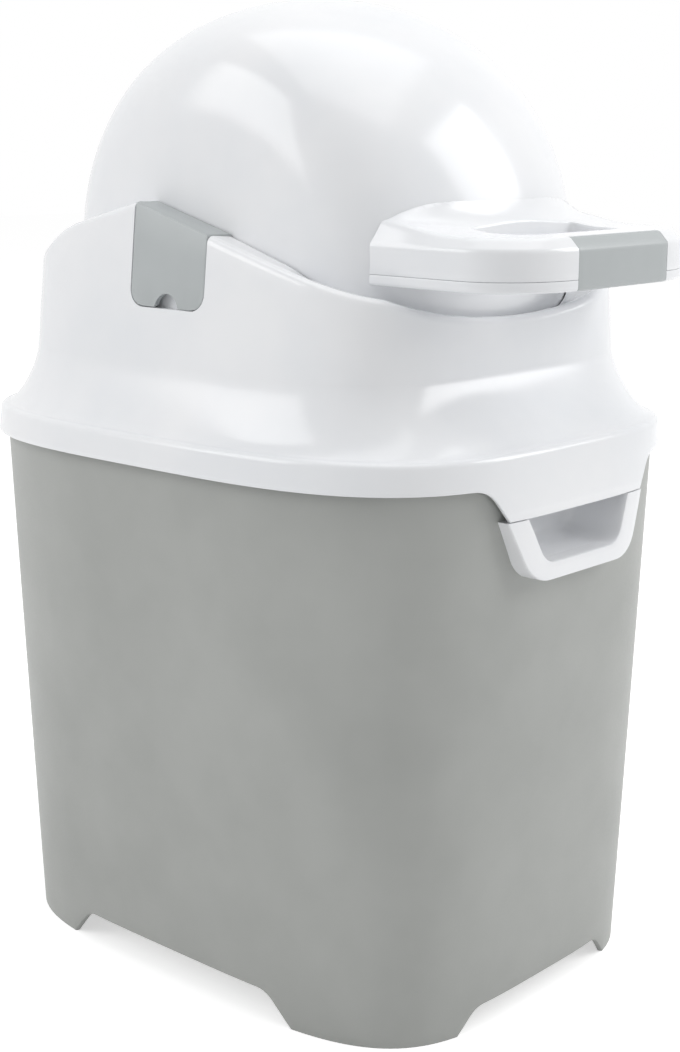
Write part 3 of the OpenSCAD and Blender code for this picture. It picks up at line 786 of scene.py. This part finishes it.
@dataclass
class PivotClip:
    """A grey clip that slides down over the collar and keeps the axle's bush in its slot."""

    side: int
    hood: Hood = field(default_factory=Hood)
    half: float = 24.7
    low: float = 337.5
    corner: float = 8.2
    wall: float = 2.6
    notch_r: float = 8.0
    edge_round: float = 1.7

    def low_edge(self, y: float) -> float:
        """Return the height of the clip's lower edge."""
        over = max(0.0, abs(y) - (self.half - self.corner))
        return self.low + self.corner - math.sqrt(max(0.0, self.corner**2 - over**2))

    def flank(self, y: float, z: float, inset: float) -> float:
        """Return the X of the hood's side at a height."""
        return GROUND.collar(z).flank(y) - inset

    def deck(self, y: float) -> float:
        """Return the height of the clip's top."""
        return self.hood.gable((GROUND.collar(GROUND.axle_z).flank(y), y))

    def section(self, y: float, trim: float) -> list[Point]:
        """Return the clip's closed section across the collar.

        Args:
            y: Place of the section along the bin.
            trim: How far the outer face is drawn in, to round the clip's ends.
        """
        low = self.low_edge(y) + trim
        top = self.deck(y)
        radius = self.edge_round
        side_top = top - radius

        def outer(along: float) -> Point:
            """Return a point of the path over the rounded edge and on across the deck."""
            quarter = radius * math.pi / 2
            if along < quarter:
                angle = along / radius
                inset, z = radius * (1 - math.cos(angle)), top - radius * (1 - math.sin(angle))
            else:
                inset, z = radius + along - quarter, top
            return (self.flank(y, side_top, inset), y, z)

        end = flip_point(lambda s: DRUM.holds(outer(s), self.hood.seat_gap), 0.0, 40.0)
        points = [(self.flank(y, low + 0.1, trim + 0.7), y, low), (self.flank(y, low + 0.3, trim + 0.2), y, low + 0.2)]
        points += [(self.flank(y, z, trim), y, z) for z in (low + 0.7, mix(low, side_top, 0.3), mix(low, side_top, 0.65))]
        points += [(self.flank(y, side_top, trim), y, side_top)]
        for share in (0.1, 0.2, 0.3, 0.42, 0.55, 0.7, 0.85, 1):
            x, _, z = outer((end - 0.9) * share)
            inward = smooth_step((end * share) / (radius * 1.6))
            points.append((x - trim * (1 - inward), y, z - trim * inward))
        last = outer(end)
        points += [(last[0] + 0.25, y, last[2] - 0.15 - trim), (last[0], y, last[2] - 0.9), (last[0], y, last[2] - self.wall)]
        inner_top, inner_r = top - self.wall, 1.4
        start_x = self.flank(y, side_top, self.wall)
        points += [(mix(last[0], start_x, 0.5), y, inner_top)]
        points += [(start_x - inner_r * (1 - math.sin(a)), y, inner_top - inner_r * (1 - math.cos(a))) for a in (0, math.pi / 4, math.pi / 2)]
        points += [(self.flank(y, mix(inner_top - 2, low, s), self.wall), y, mix(inner_top - 2, low, s)) for s in (0.5, 0.97)]
        return both_hands(points, self.side)

    def build(self) -> Piece:
        """Build the clip from one end to the other and bite the finger notch out of it."""
        ends = [(self.half, 0.7), (self.half - 0.2, 0.22), (self.half - 0.7, 0)]
        marks = ends + [(self.half - 1.8, 0), (self.half - 3.2, 0), (self.half - 5.2, 0), (self.corner + 8, 0), (12, 0), (6, 0)]
        rows = [(-y, trim) for y, trim in marks] + [(0, 0)] + [(y, trim) for y, trim in reversed(marks)]
        name = "clip_cover_left" if self.side < 0 else "clip_cover_right"
        clip = grown(name, [self.section(y, trim) for y, trim in rows]).cap_ends()
        tongue = [(91.7, y, z) for y, z in ((-11.2, 364.4), (11.2, 364.4), (11.2, self.deck(11.2) - 1.3), (-11.2, self.deck(-11.2) - 1.3))]
        carve(clip, prism("tongue", both_hands(tongue, self.side), (self.side * 9.8, 0, 0)), "UNION")
        carve(clip, round_cutter("bush_tool", self.side * 80, self.side * 103.2, 0, GROUND.axle_z, 11.75))
        carve(clip, round_cutter("notch_tool", self.side * 95, self.side * 125, 0, GROUND.axle_z - GROUND.clip_low - 1, self.notch_r))
        clean_cuts(clip)
        shade(clip, 30)
        return clip


@dataclass
class Bowl:
    """The domed bowl: its shell, its liner and the ring that joins the two at the mouth."""

    mouth_z: float = 313.7
    wall: float = 2.4
    liner_inset: float = 9.9
    liner_wall: float = 2.0
    lip: float = 1.5
    web: float = 5.0

    def dome(self, name: str, grow: float, wall: float) -> Piece:
        """Build the part of the drum above the mouth.

        Args:
            name: Name of the piece.
            grow: How far the skin lies outside the drum.
            wall: Thickness that the skin gets inwards.

        Returns:
            The finished shell.
        """
        piece = DRUM.turned(name, grow, 160, 72).cap_ends()
        make_active(piece)
        bpy.ops.object.mode_set(mode="EDIT")
        bpy.ops.mesh.select_all(action="SELECT")
        bpy.ops.mesh.bisect(plane_co=(0, 0, self.mouth_z * MM), plane_no=(0, 0, 1), clear_inner=True)
        bpy.ops.object.mode_set(mode="OBJECT")
        apply_modifier(piece, "SOLIDIFY", thickness=wall * MM, offset=-1, use_even_offset=True)
        shade(piece, 40)
        return piece

    def mouth_ring(self) -> Piece:
        """Build the ring that closes the space between shell and liner."""
        low, high = self.mouth_z - self.lip, self.mouth_z
        section = [(-0.4, low), (0, low + 0.35), (0, high), (-self.wall - 0.1, high), (-self.wall - 0.1, high + self.web),
                   (-self.liner_inset + 0.1, high + self.web), (-self.liner_inset + 0.1, high),
                   (-self.liner_inset - self.liner_wall, high), (-self.liner_inset - self.liner_wall, low + 0.35),
                   (-self.liner_inset - self.liner_wall + 0.4, low)]
        rays = [math.tau * k / 160 for k in range(160)]
        loops = [[(*DRUM.plan_edge(ray, self.mouth_z, grow), z) for ray in rays] for grow, z in section]
        ring = grown("mouth_ring_moulding", loops).close_round()
        shade(ring)
        return ring

    def build(self) -> list[Piece]:
        """Build the shell, the liner and the ring."""
        return [self.dome("bowl_dome", 0, self.wall),
                self.dome("bowl_inner", -self.liner_inset, self.liner_wall),
                self.mouth_ring()]


@dataclass
class Handle:
    """The handle that swings the bowl: an upper and a lower shell, and a grip let into the bar."""

    reach: float = 179.0
    half: float = 76.0
    corner: Plan = (44.0, 33.0)
    back: float = -88.0
    low: float = 352.0
    parting: float = 357.0
    bevel_z: float = 370.0
    bevel: float = 5.0
    hole_half: float = 39.0
    hole_y: Plan = (-154.0, -123.0)
    hole_rounds: Plan = (12.0, 3.0)
    cove: Plan = (11.0, 13.0)
    grip_half: float = 35.0
    grip_wall: float = 3.0
    grip_back: float = -172.5
    stations: int = 176
    screws: tuple[Plan, ...] = ((-57.5, -113.0), (-57.5, -146.0), (57.5, -113.0), (57.5, -146.0))
    screw_recess: Plan = (3.9, 2.2)

    @property
    def middle(self) -> Plan:
        """Return the middle of the hand opening, which every ray starts from."""
        return 0.0, sum(self.hole_y) / 2

    def in_outline(self, point: Plan, inset: float) -> bool:
        """Return whether a plan point is inside the handle's outline at an inset."""
        across, y = abs(point[0]), point[1]
        if across > self.half - inset or y > self.back or y < -self.reach + inset:
            return False
        over_x, over_y = across - (self.half - self.corner[0]), self.corner[1] - self.reach - y
        if over_x <= 0 or over_y <= 0:
            return True
        return (over_x / (self.corner[0] - inset)) ** 2 + (over_y / (self.corner[1] - inset)) ** 2 < 1

    def in_hole(self, point: Plan, grow: float) -> bool:
        """Return whether a plan point is inside the hand opening grown by a distance."""
        middle_y, half_y = self.middle[1], (self.hole_y[1] - self.hole_y[0]) / 2 + grow
        radius = (self.hole_rounds[0] if point[1] < middle_y else self.hole_rounds[1]) + grow
        over_x = abs(point[0]) - (self.hole_half + grow - radius)
        over_y = abs(point[1] - middle_y) - (half_y - radius)
        return math.hypot(max(0.0, over_x), max(0.0, over_y)) < radius

    def reach_of(self, angle: float, inside: Callable[[Plan, float], bool], value: float) -> Plan:
        """Return where a ray from the opening's middle leaves a shape.

        Args:
            angle: Direction of the ray.
            inside: Test of the shape.
            value: Inset or growth that is handed to the test.

        Returns:
            The plan point on the shape's edge.
        """
        x, y = self.middle
        aim = (math.cos(angle), math.sin(angle))
        far = flip_point(lambda r: not inside((x + r * aim[0], y + r * aim[1]), value), 0.0, 140.0)
        return x + far * aim[0], y + far * aim[1]

    def rays(self) -> list[float]:
        """Return directions that step evenly along the handle's outline."""
        fine = [math.tau * k / 2880 for k in range(2881)]
        trail = [self.reach_of(angle, self.in_outline, 0) for angle in fine]
        run = [0.0]
        for before, after in zip(trail, trail[1:]):
            run.append(run[-1] + math.dist(before, after))
        picked, at = [], 0
        for k in range(self.stations):
            while run[at + 1] < run[-1] * k / self.stations:
                at += 1
            picked.append(fine[at])
        return picked

    def top(self, point: Plan) -> float:
        """Return the height of the handle's top, with the cove that climbs the bowl."""
        x, y = point
        plain = 375 + 6 * smooth_step((y + 140) / 45)
        girth = DRUM.rim_radius(min(abs(x), DRUM.half - 0.5), 0)

        def above(z: float) -> bool:
            """Return whether a height lies above the quarter-round cove between top and bowl."""
            near = max(0.0, min(1.0, 1 - (math.hypot(y, z - GROUND.axle_z) - girth) / self.cove[0]))
            return z > plain + self.cove[1] * (1 - math.sqrt(1 - near**2))

        raised = flip_point(above, plain - 0.01, plain + self.cove[1] + 0.01)
        lens = 365 + 26 * max(0.0, 1 - (abs(x) / 75) ** 3) ** (1 / 3)
        ease = 1.2
        raised = (raised + lens - math.hypot(raised - lens, ease)) / 2
        return (plain + raised + math.hypot(plain - raised, ease) - ease) / 2

    def upper(self) -> Piece:
        """Build the upper shell ring by ring: up the side, over the bevel, across and down the opening."""
        rays = self.rays()

        def outer(inset: float) -> list[Plan]:
            """Return the outline's plan points at an inset."""
            return [self.reach_of(ray, self.in_outline, inset) for ray in rays]

        def hole(grow: float) -> list[Plan]:
            """Return the opening's plan points at a growth."""
            return [self.reach_of(ray, self.in_hole, grow) for ray in rays]

        edge = outer(6.6)
        mouth = hole(1.1)
        loops = [[(*p, z) for p in outer(inset)] for inset, z in
                 ((0.35, self.parting), (0.1, self.parting + 0.08), (0, self.parting + 0.35), (0, 361), (0, 365), (0, 368.2), (0.06, 369.2))]
        for inset, share in ((0.35, 0.06), (1.1, 0.21), (2.2, 0.44), (3.4, 0.68), (4.4, 0.87), (5.3, 0.975)):
            loops.append([(*p, mix(self.bevel_z, self.top(p), share)) for p in outer(inset)])
        for share in (0, 0.15, 0.3, 0.42, 0.53, 0.62, 0.69, 0.74, 0.78, 0.82, 0.86, 0.9, 0.94, 0.97, 1):
            loops.append([(*(p := mix_plan(a, b, share)), self.top(p)) for a, b in zip(edge, mouth)])
        for grow, drop in ((0.5, 0.12), (0.12, 0.5), (0, 1.2)):
            loops.append([(*p, self.top(p) - drop) for p in hole(grow)])
        inner = hole(0)
        for share in (0.25, 0.5, 0.75, 1):
            loops.append([(*p, mix(self.top(p) - 1.2, self.parting + 0.1, share)) for p in inner])
        piece = grown("handle_upper", loops).close_round()
        self.trim(piece)
        clean_cuts(piece)
        shade(piece, 40)
        return piece

    def lower(self) -> Piece:
        """Build the lower shell, with recesses for its screws."""
        rays = self.rays()
        section = [(self.in_outline, 1.8, 0), (self.in_outline, 0.8, 0.22), (self.in_outline, 0.2, 0.8), (self.in_outline, 0, 1.6),
                   (self.in_outline, 0, 4.55), (self.in_outline, 0.08, 4.8), (self.in_outline, 0.3, 4.88), (self.in_hole, 0, 4.88),
                   (self.in_hole, 0, 1.2), (self.in_hole, 0.3, 0.3), (self.in_hole, 1.1, 0)]
        loops = [[(*self.reach_of(ray, shape, value), self.low + up) for ray in rays] for shape, value, up in section]
        piece = grown("handle_lower", loops).close_round()
        self.trim(piece)
        radius, depth = self.screw_recess
        for x, y in self.screws:
            circle = [(x + radius * math.cos(math.tau * k / 32), y + radius * math.sin(math.tau * k / 32), self.low - 1)
                      for k in range(32)]
            carve(piece, prism("recess_tool", circle, (0, 0, depth + 1)))
        clean_cuts(piece)
        shade(piece, 40)
        return piece

    def trim(self, piece: Piece) -> None:
        """Cut a shell back where it meets the bowl, and open its bar for the grip."""
        carve(piece, DRUM.turned("bowl_tool", 0.12, 160, 72).cap_ends())
        half = self.grip_half + 0.15
        carve(piece, box_cutter("grip_tool", (-half, -self.reach - 5, self.low - 5), (half, self.grip_back + 0.15, 380)))

    def grip(self) -> Piece:
        """Build the grip as one C section carried along the bar, with rounded ends."""
        wall, front = self.grip_wall, -self.reach
        shell = [(self.grip_back, 352.25), (self.grip_back - 0.25, 352), (front + 1.5, 352), (front + 0.7, 352.25), (front + 0.2, 352.8),
                 (front, 353.6), (front, 361), (front, 368.6), (front + 0.06, 369.4), (front + 0.4, 370.4), (front + 2.2, 372.2),
                 (front + 4.2, 374.2), (front + 5.1, 374.9), (self.grip_back - 0.25, 375), (self.grip_back, 374.75)]
        lining = [(self.grip_back, 372.2), (front + wall, 368.5), (front + wall, 356), (front + wall + 1, 355), (self.grip_back, 355)]
        middle = (front + 2.5, 363.0)
        loops = []
        for place, draw in ((-35, 0.3), (-34.85, 0.1), (-34.5, 0), (-30, 0), (-18, 0), (-6, 0), (6, 0), (18, 0), (30, 0), (34.5, 0),
                            (34.85, 0.1), (35, 0.3)):
            over = max(0.0, abs(place) - (self.half - self.corner[0])) / self.corner[0]
            shift = self.corner[1] * (1 - math.sqrt(1 - over**2))
            loop = []
            for y, z in shell:
                away = Vector((y - middle[0], z - middle[1]))
                held = away * (1 - draw / away.length)
                loop.append((place, middle[0] + held.x + shift, middle[1] + held.y))
            loops.append(loop + [(place, y + shift, z) for y, z in lining])
        piece = grown("grip_cover", loops).cap_ends()
        shade(piece, 35)
        return piece

    def build(self) -> list[Piece]:
        """Build the two shells and the grip."""
        return [self.upper(), self.lower(), self.grip()]


def linear(code: str) -> tuple[float, float, float, float]:
    """Turn an sRGB hex colour into the linear colour that a shader takes."""
    parts = [int(code[k:k + 2], 16) / 255 for k in (1, 3, 5)]
    red, green, blue = (p / 12.92 if p <= 0.04045 else ((p + 0.055) / 1.055) ** 2.4 for p in parts)
    return red, green, blue, 1.0


def add_node(tree: bpy.types.NodeTree, kind: str, links: dict[str, bpy.types.NodeSocket] | None = None,
             **settings: object) -> bpy.types.Node:
    """Add a node to a material with its settings and links.

    Args:
        tree: Tree that gets the node.
        kind: Blender's name of the node type.
        links: Output sockets to plug in, by the name of the new node's input.
        **settings: Values for inputs by name, with _ for a space, or for the node's own properties.

    Returns:
        The new node.
    """
    node = tree.nodes.new(kind)
    for name, value in settings.items():
        socket = node.inputs.get(name.replace("_", " "))
        if socket is None:
            setattr(node, name, value)
        else:
            socket.default_value = value
    for name, source in (links or {}).items():
        tree.links.new(source, node.inputs[name])
    return node


@dataclass(frozen=True)
class Moulding:
    """A moulded plastic or rubber surface: two close tones, a grain from the mould and a slow waviness."""

    name: str
    slot: str
    light: str
    dark: str
    roughness: Plan
    ior: float
    grain_mm: float
    grain_depth_mm: float
    wave_mm: float
    wave_depth_mm: float
    tone_mm: float = 60.0
    sheen: float = 0.0
    subsurface: float = 0.0

    def material(self) -> bpy.types.Material:
        """Build the material's nodes, all on Object coordinates."""
        made = bpy.data.materials.new(self.name)
        made.use_nodes = True
        tree = made.node_tree
        tree.nodes.clear()
        where = add_node(tree, "ShaderNodeTexCoord").outputs["Object"]
        tone = add_node(tree, "ShaderNodeTexNoise", {"Vector": where}, Scale=1 / (self.tone_mm * MM), Detail=3.0, Roughness=0.55)
        ramp = add_node(tree, "ShaderNodeValToRGB", {"Fac": tone.outputs["Fac"]})
        for stop, place, code in zip(ramp.color_ramp.elements, (0.32, 0.68), (self.dark, self.light)):
            stop.position, stop.color = place, linear(code)
        grain = add_node(tree, "ShaderNodeTexNoise", {"Vector": where}, Scale=1 / (self.grain_mm * MM), Detail=2.0, Roughness=0.6)
        wave = add_node(tree, "ShaderNodeTexNoise", {"Vector": where}, Scale=1 / (self.wave_mm * MM), Detail=1.0)
        gloss = add_node(tree, "ShaderNodeMapRange", {"Value": grain.outputs["Fac"]}, From_Min=0.3, From_Max=0.7,
                         To_Min=self.roughness[0], To_Max=self.roughness[1])
        slow = add_node(tree, "ShaderNodeBump", {"Height": wave.outputs["Fac"]}, Strength=1.0, Distance=self.wave_depth_mm * MM)
        fine = add_node(tree, "ShaderNodeBump", {"Height": grain.outputs["Fac"], "Normal": slow.outputs["Normal"]},
                        Strength=1.0, Distance=self.grain_depth_mm * MM)
        shader = add_node(tree, "ShaderNodeBsdfPrincipled",
                          {"Base Color": ramp.outputs["Color"], "Roughness": gloss.outputs["Result"], "Normal": fine.outputs["Normal"]},
                          IOR=self.ior, Sheen_Weight=self.sheen, Subsurface_Weight=self.subsurface, Subsurface_Scale=0.002)
        add_node(tree, "ShaderNodeOutputMaterial", {"Surface": shader.outputs["BSDF"]})
        return made


@dataclass(frozen=True)
class PlatedSteel:
    """Zinc-plated steel wire and screws: drawn along their length, then plated bright."""

    name: str = "zinc_plated_steel"
    slot: str = "steel"
    light: str = "#c9ccce"
    dark: str = "#a9adb1"
    roughness: Plan = (0.24, 0.4)
    spangle_mm: float = 1.5
    depth_mm: float = 0.01

    def material(self) -> bpy.types.Material:
        """Build the material's nodes: a cellular plating pattern over a soft metal sheen."""
        made = bpy.data.materials.new(self.name)
        made.use_nodes = True
        tree = made.node_tree
        tree.nodes.clear()
        where = add_node(tree, "ShaderNodeTexCoord").outputs["Object"]
        cells = add_node(tree, "ShaderNodeTexVoronoi", {"Vector": where}, Scale=1 / (self.spangle_mm * MM))
        ramp = add_node(tree, "ShaderNodeValToRGB", {"Fac": cells.outputs["Distance"]})
        for stop, place, code in zip(ramp.color_ramp.elements, (0.1, 0.8), (self.light, self.dark)):
            stop.position, stop.color = place, linear(code)
        gloss = add_node(tree, "ShaderNodeMapRange", {"Value": cells.outputs["Distance"]}, To_Min=self.roughness[0],
                         To_Max=self.roughness[1])
        dent = add_node(tree, "ShaderNodeBump", {"Height": cells.outputs["Distance"]}, Strength=1.0, Distance=self.depth_mm * MM)
        shader = add_node(tree, "ShaderNodeBsdfPrincipled",
                          {"Base Color": ramp.outputs["Color"], "Roughness": gloss.outputs["Result"], "Normal": dent.outputs["Normal"]},
                          Metallic=1.0)
        add_node(tree, "ShaderNodeOutputMaterial", {"Surface": shader.outputs["BSDF"]})
        return made


class Finish(Enum):
    """The object's finishes, one for each material slot of the record."""

    # ABS, moulded in a polished tool: near-mirror gloss with a faint orange peel in its reflections.
    HOOD = Moulding("gloss_white_abs", "hood_white", "#f3f4f6", "#edeff2", (0.15, 0.21), 1.54, 1.6, 0.004, 9, 0.03)
    # Polypropylene, moulded in a spark-eroded tool: satin mid grey with a fine even grain.
    BUCKET = Moulding("satin_grey_polypropylene", "bucket_grey", "#abadaa", "#a3a5a2", (0.42, 0.54), 1.49, 1.1, 0.035, 26, 0.08)
    # ABS, moulded in a lightly etched tool: cooler grey, slightly shinier than the bucket.
    CLIP = Moulding("satin_grey_abs", "clip_grey", "#b5babb", "#aeb3b4", (0.34, 0.44), 1.54, 0.9, 0.018, 14, 0.03)
    # Polypropylene, straight from the tool: off-white, waxy, with a soft sheen and slight mottling.
    INNER = Moulding("natural_white_polypropylene", "inner_white", "#eceeef", "#e2e5e6", (0.36, 0.46), 1.49, 1.4, 0.015, 18, 0.06,
                     subsurface=0.04)
    # Thermoplastic rubber, moulded soft: matt, with a faint bloom that catches grazing light.
    SOFT_SEAL = Moulding("pale_soft_rubber", "soft_rubber", "#d7d9da", "#cdd0d1", (0.62, 0.74), 1.5, 0.8, 0.03, 12, 0.06, sheen=0.15)
    BOWL_SEAL = Moulding("grey_seal_rubber", "seal_rubber", "#9fa2a4", "#95989a", (0.6, 0.72), 1.5, 0.8, 0.03, 12, 0.06, sheen=0.15)
    # Acetal, moulded and left as it comes: dense white with a slippery low sheen.
    BUSH = Moulding("white_acetal", "bush_plastic", "#dfe1e2", "#d7dadb", (0.26, 0.34), 1.48, 1.2, 0.008, 10, 0.02, subsurface=0.03)
    # Drawn steel, zinc plated: small bright cells and a soft metal sheen.
    STEEL = PlatedSteel()


class Wardrobe:
    """Keeps each finish's material, so that it is made once."""

    def __init__(self) -> None:
        """Start with nothing made."""
        self.made: dict[Finish, bpy.types.Material] = {}

    def dress(self, piece: Piece, finish: Finish, body: str, *nodes: str) -> None:
        """Give a piece its finish and its body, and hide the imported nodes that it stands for."""
        if finish not in self.made:
            self.made[finish] = finish.value.material()
        piece.data.materials.clear()
        piece.data.materials.append(self.made[finish])
        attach(piece, body)
        if nodes:
            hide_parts(*nodes)
        LOG.info("%s: %d faces, %s, on %s", piece.name, len(piece.data.polygons), finish.name.lower(), body)


@dataclass
class Fittings:
    """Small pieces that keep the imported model's shape and only need welding, smooth shading and a finish."""

    nodes: dict[str, Piece]
    copies: tuple[tuple[str, str, Finish, str], ...] = (
        ("bag_ring", "bag_ring_hoop", Finish.INNER, "bin"),
        ("hinge_pin", "hinge_wire", Finish.STEEL, "bin"),
        ("rim_seal", "rim_seal_strip", Finish.SOFT_SEAL, "hood"),
        ("seal_carrier", "seal_carrier_plate", Finish.INNER, "hood"),
        ("bowl_seal", "bowl_seal_lip", Finish.BOWL_SEAL, "hood"),
        ("carrier_screws", "carrier_fixings", Finish.STEEL, "hood"),
        ("bush_left", "bush_left_block", Finish.BUSH, "hood"),
        ("bush_right", "bush_right_block", Finish.BUSH, "hood"),
        ("axle_left", "axle_left_stub", Finish.BUSH, "bowl"),
        ("axle_right", "axle_right_stub", Finish.BUSH, "bowl"),
        ("handle_screws", "handle_fixings", Finish.STEEL, "bowl"),
    )

    def copy(self, node: str, name: str) -> Piece:
        """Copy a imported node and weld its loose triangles, so that it can be shaded smooth."""
        piece = bpy.data.objects.new(name, self.nodes[node].data.copy())
        piece.data.name = name
        bpy.context.scene.collection.objects.link(piece)
        make_active(piece)
        bpy.ops.object.mode_set(mode="EDIT")
        bpy.ops.mesh.select_all(action="SELECT")
        bpy.ops.mesh.remove_doubles(threshold=TINY)
        bpy.ops.mesh.select_all(action="DESELECT")
        bpy.ops.object.mode_set(mode="OBJECT")
        shade(piece, 28)
        return piece

    def build_and_dress(self, wardrobe: Wardrobe) -> None:
        """Copy every small piece and dress it."""
        for node, name, finish, body in self.copies:
            wardrobe.dress(self.copy(node, name), finish, body, node)


@dataclass
class Studio:
    """The pale floor, the soft lamps and the camera, in metres."""

    floor_half: float = 6.0
    floor_code: str = "#f1f1f1"
    floor_lift: float = 0.55
    camera_at: Point = (-0.6714, -0.6132, 0.4221)
    azimuth: float = -48.14
    elevation: float = 12.77
    roll: float = 0.28
    lens: float = 60.95

    def floor(self) -> None:
        """Lay the floor: pale, white to the camera, and still darkened where the object shades it."""
        deselect_all()
        bpy.ops.mesh.primitive_plane_add(size=2 * self.floor_half)
        floor = bpy.context.active_object
        floor.name = "studio_floor"
        paint = bpy.data.materials.new("pale_paper")
        paint.use_nodes = True
        tree = paint.node_tree
        tree.nodes.clear()
        where = add_node(tree, "ShaderNodeTexCoord").outputs["Object"]
        fibre = add_node(tree, "ShaderNodeTexNoise", {"Vector": where}, Scale=900.0, Detail=2.0)
        dent = add_node(tree, "ShaderNodeBump", {"Height": fibre.outputs["Fac"]}, Strength=0.1, Distance=0.0002)
        matt = add_node(tree, "ShaderNodeBsdfDiffuse", {"Normal": dent.outputs["Normal"]}, Color=linear(self.floor_code))
        path = add_node(tree, "ShaderNodeLightPath")
        seen = add_node(tree, "ShaderNodeMath", {0: path.outputs["Is Camera Ray"], 1: path.outputs["Is Glossy Ray"]}, operation="MAXIMUM")
        seen = add_node(tree, "ShaderNodeMath", {0: seen.outputs[0], 1: path.outputs["Is Transmission Ray"]}, operation="MAXIMUM")
        lift = add_node(tree, "ShaderNodeMath", {0: seen.outputs[0]}, operation="MULTIPLY")
        lift.inputs[1].default_value = self.floor_lift
        glow = add_node(tree, "ShaderNodeEmission", {"Strength": lift.outputs[0]})
        both = add_node(tree, "ShaderNodeAddShader", {0: matt.outputs[0], 1: glow.outputs[0]})
        add_node(tree, "ShaderNodeOutputMaterial", {"Surface": both.outputs[0]})
        floor.data.materials.append(paint)

    def lamp(self, name: str, at: Point, aim: Point, size: Plan, watts: float) -> None:
        """Hang one softbox and turn it towards a point."""
        light = bpy.data.lights.new(name, "AREA")
        light.shape, light.size, light.size_y, light.energy = "RECTANGLE", *size, watts
        holder = bpy.data.objects.new(name, light)
        holder.location = at
        holder.rotation_euler = (Vector(aim) - Vector(at)).to_track_quat("-Z", "Y").to_euler()
        bpy.context.scene.collection.objects.link(holder)

    def surroundings(self) -> None:
        """Fill the room with plain soft light, and show the camera a white one."""
        world = bpy.data.worlds.new("studio_room")
        bpy.context.scene.world = world
        world.use_nodes = True
        tree = world.node_tree
        tree.nodes.clear()
        path = add_node(tree, "ShaderNodeLightPath")
        seen = add_node(tree, "ShaderNodeMath", {0: path.outputs["Is Camera Ray"], 1: path.outputs["Is Glossy Ray"]}, operation="MAXIMUM")
        seen = add_node(tree, "ShaderNodeMath", {0: seen.outputs[0], 1: path.outputs["Is Transmission Ray"]}, operation="MAXIMUM")
        strength = add_node(tree, "ShaderNodeMapRange", {"Value": seen.outputs[0]}, To_Min=0.5, To_Max=1.0)
        sky = add_node(tree, "ShaderNodeBackground", {"Strength": strength.outputs["Result"]}, Color=(1.0, 1.0, 1.0, 1.0))
        add_node(tree, "ShaderNodeOutputWorld", {"Surface": sky.outputs[0]})

    def camera(self) -> None:
        """Place the camera as the fitted view gives it."""
        turn, rise, tilt = (math.radians(v) for v in (self.azimuth, self.elevation, self.roll))
        back = Vector((math.sin(turn) * math.cos(rise), -math.cos(turn) * math.cos(rise), math.sin(rise)))
        right = Vector((math.cos(turn), math.sin(turn), 0))
        up = back.cross(right)
        right, up = right * math.cos(tilt) + up * math.sin(tilt), up * math.cos(tilt) - right * math.sin(tilt)
        data = bpy.data.cameras.new("studio_camera")
        data.lens, data.sensor_fit, data.sensor_height = self.lens, "VERTICAL", 36
        data.clip_start, data.clip_end = 0.01, 50
        holder = bpy.data.objects.new("studio_camera", data)
        holder.matrix_world = Matrix.Translation(self.camera_at) @ Matrix((right, up, back)).transposed().to_4x4()
        bpy.context.scene.collection.objects.link(holder)
        bpy.context.scene.camera = holder

    def build(self) -> None:
        """Set up the floor, the lamps, the room and the camera."""
        self.camera()
        self.floor()
        self.surroundings()
        self.lamp("softbox_left", (-1.5, 0.9, 1.25), (0, 0, 0.25), (1.1, 1.2), 11)
        self.lamp("softbox_front", (1.3, -1.35, 1.35), (0, 0, 0.25), (1.1, 1.2), 17)
        self.lamp("softbox_top", (0.1, -0.1, 1.9), (0, 0, 0.3), (1.6, 1.6), 9.5)
        bpy.context.scene.view_settings.view_transform = "Standard"


def main() -> None:
    """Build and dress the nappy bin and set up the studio."""
    logging.basicConfig(level=logging.INFO, format="%(message)s")
    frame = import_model()
    Studio().build()
    wardrobe = Wardrobe()
    wardrobe.dress(Bucket().build(), Finish.BUCKET, "bin", "bucket")
    rim, scoop = PullPocket().build()
    wardrobe.dress(rim, Finish.HOOD, "bin", "pull_pocket")
    wardrobe.dress(scoop, Finish.HOOD, "bin", "pull_pocket")
    for piece in Hood().build():
        wardrobe.dress(piece, Finish.HOOD, "hood", "hood")
    for side, body in ((-1, "clip_left"), (1, "clip_right")):
        wardrobe.dress(PivotClip(side).build(), Finish.CLIP, body, body)
    dome, liner, ring = Bowl().build()
    wardrobe.dress(dome, Finish.HOOD, "bowl", "bowl_shell")
    wardrobe.dress(liner, Finish.INNER, "bowl", "bowl_liner")
    wardrobe.dress(ring, Finish.HOOD, "bowl", "mouth_ring")
    upper, lower, grip = Handle().build()
    wardrobe.dress(upper, Finish.HOOD, "bowl", "handle_top")
    wardrobe.dress(lower, Finish.HOOD, "bowl", "handle_base")
    wardrobe.dress(grip, Finish.CLIP, "bowl", "grip_insert")
    Fittings(frame["nodes"]).build_and_dress(wardrobe)
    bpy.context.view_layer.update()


if __name__ == "__main__":
    main()
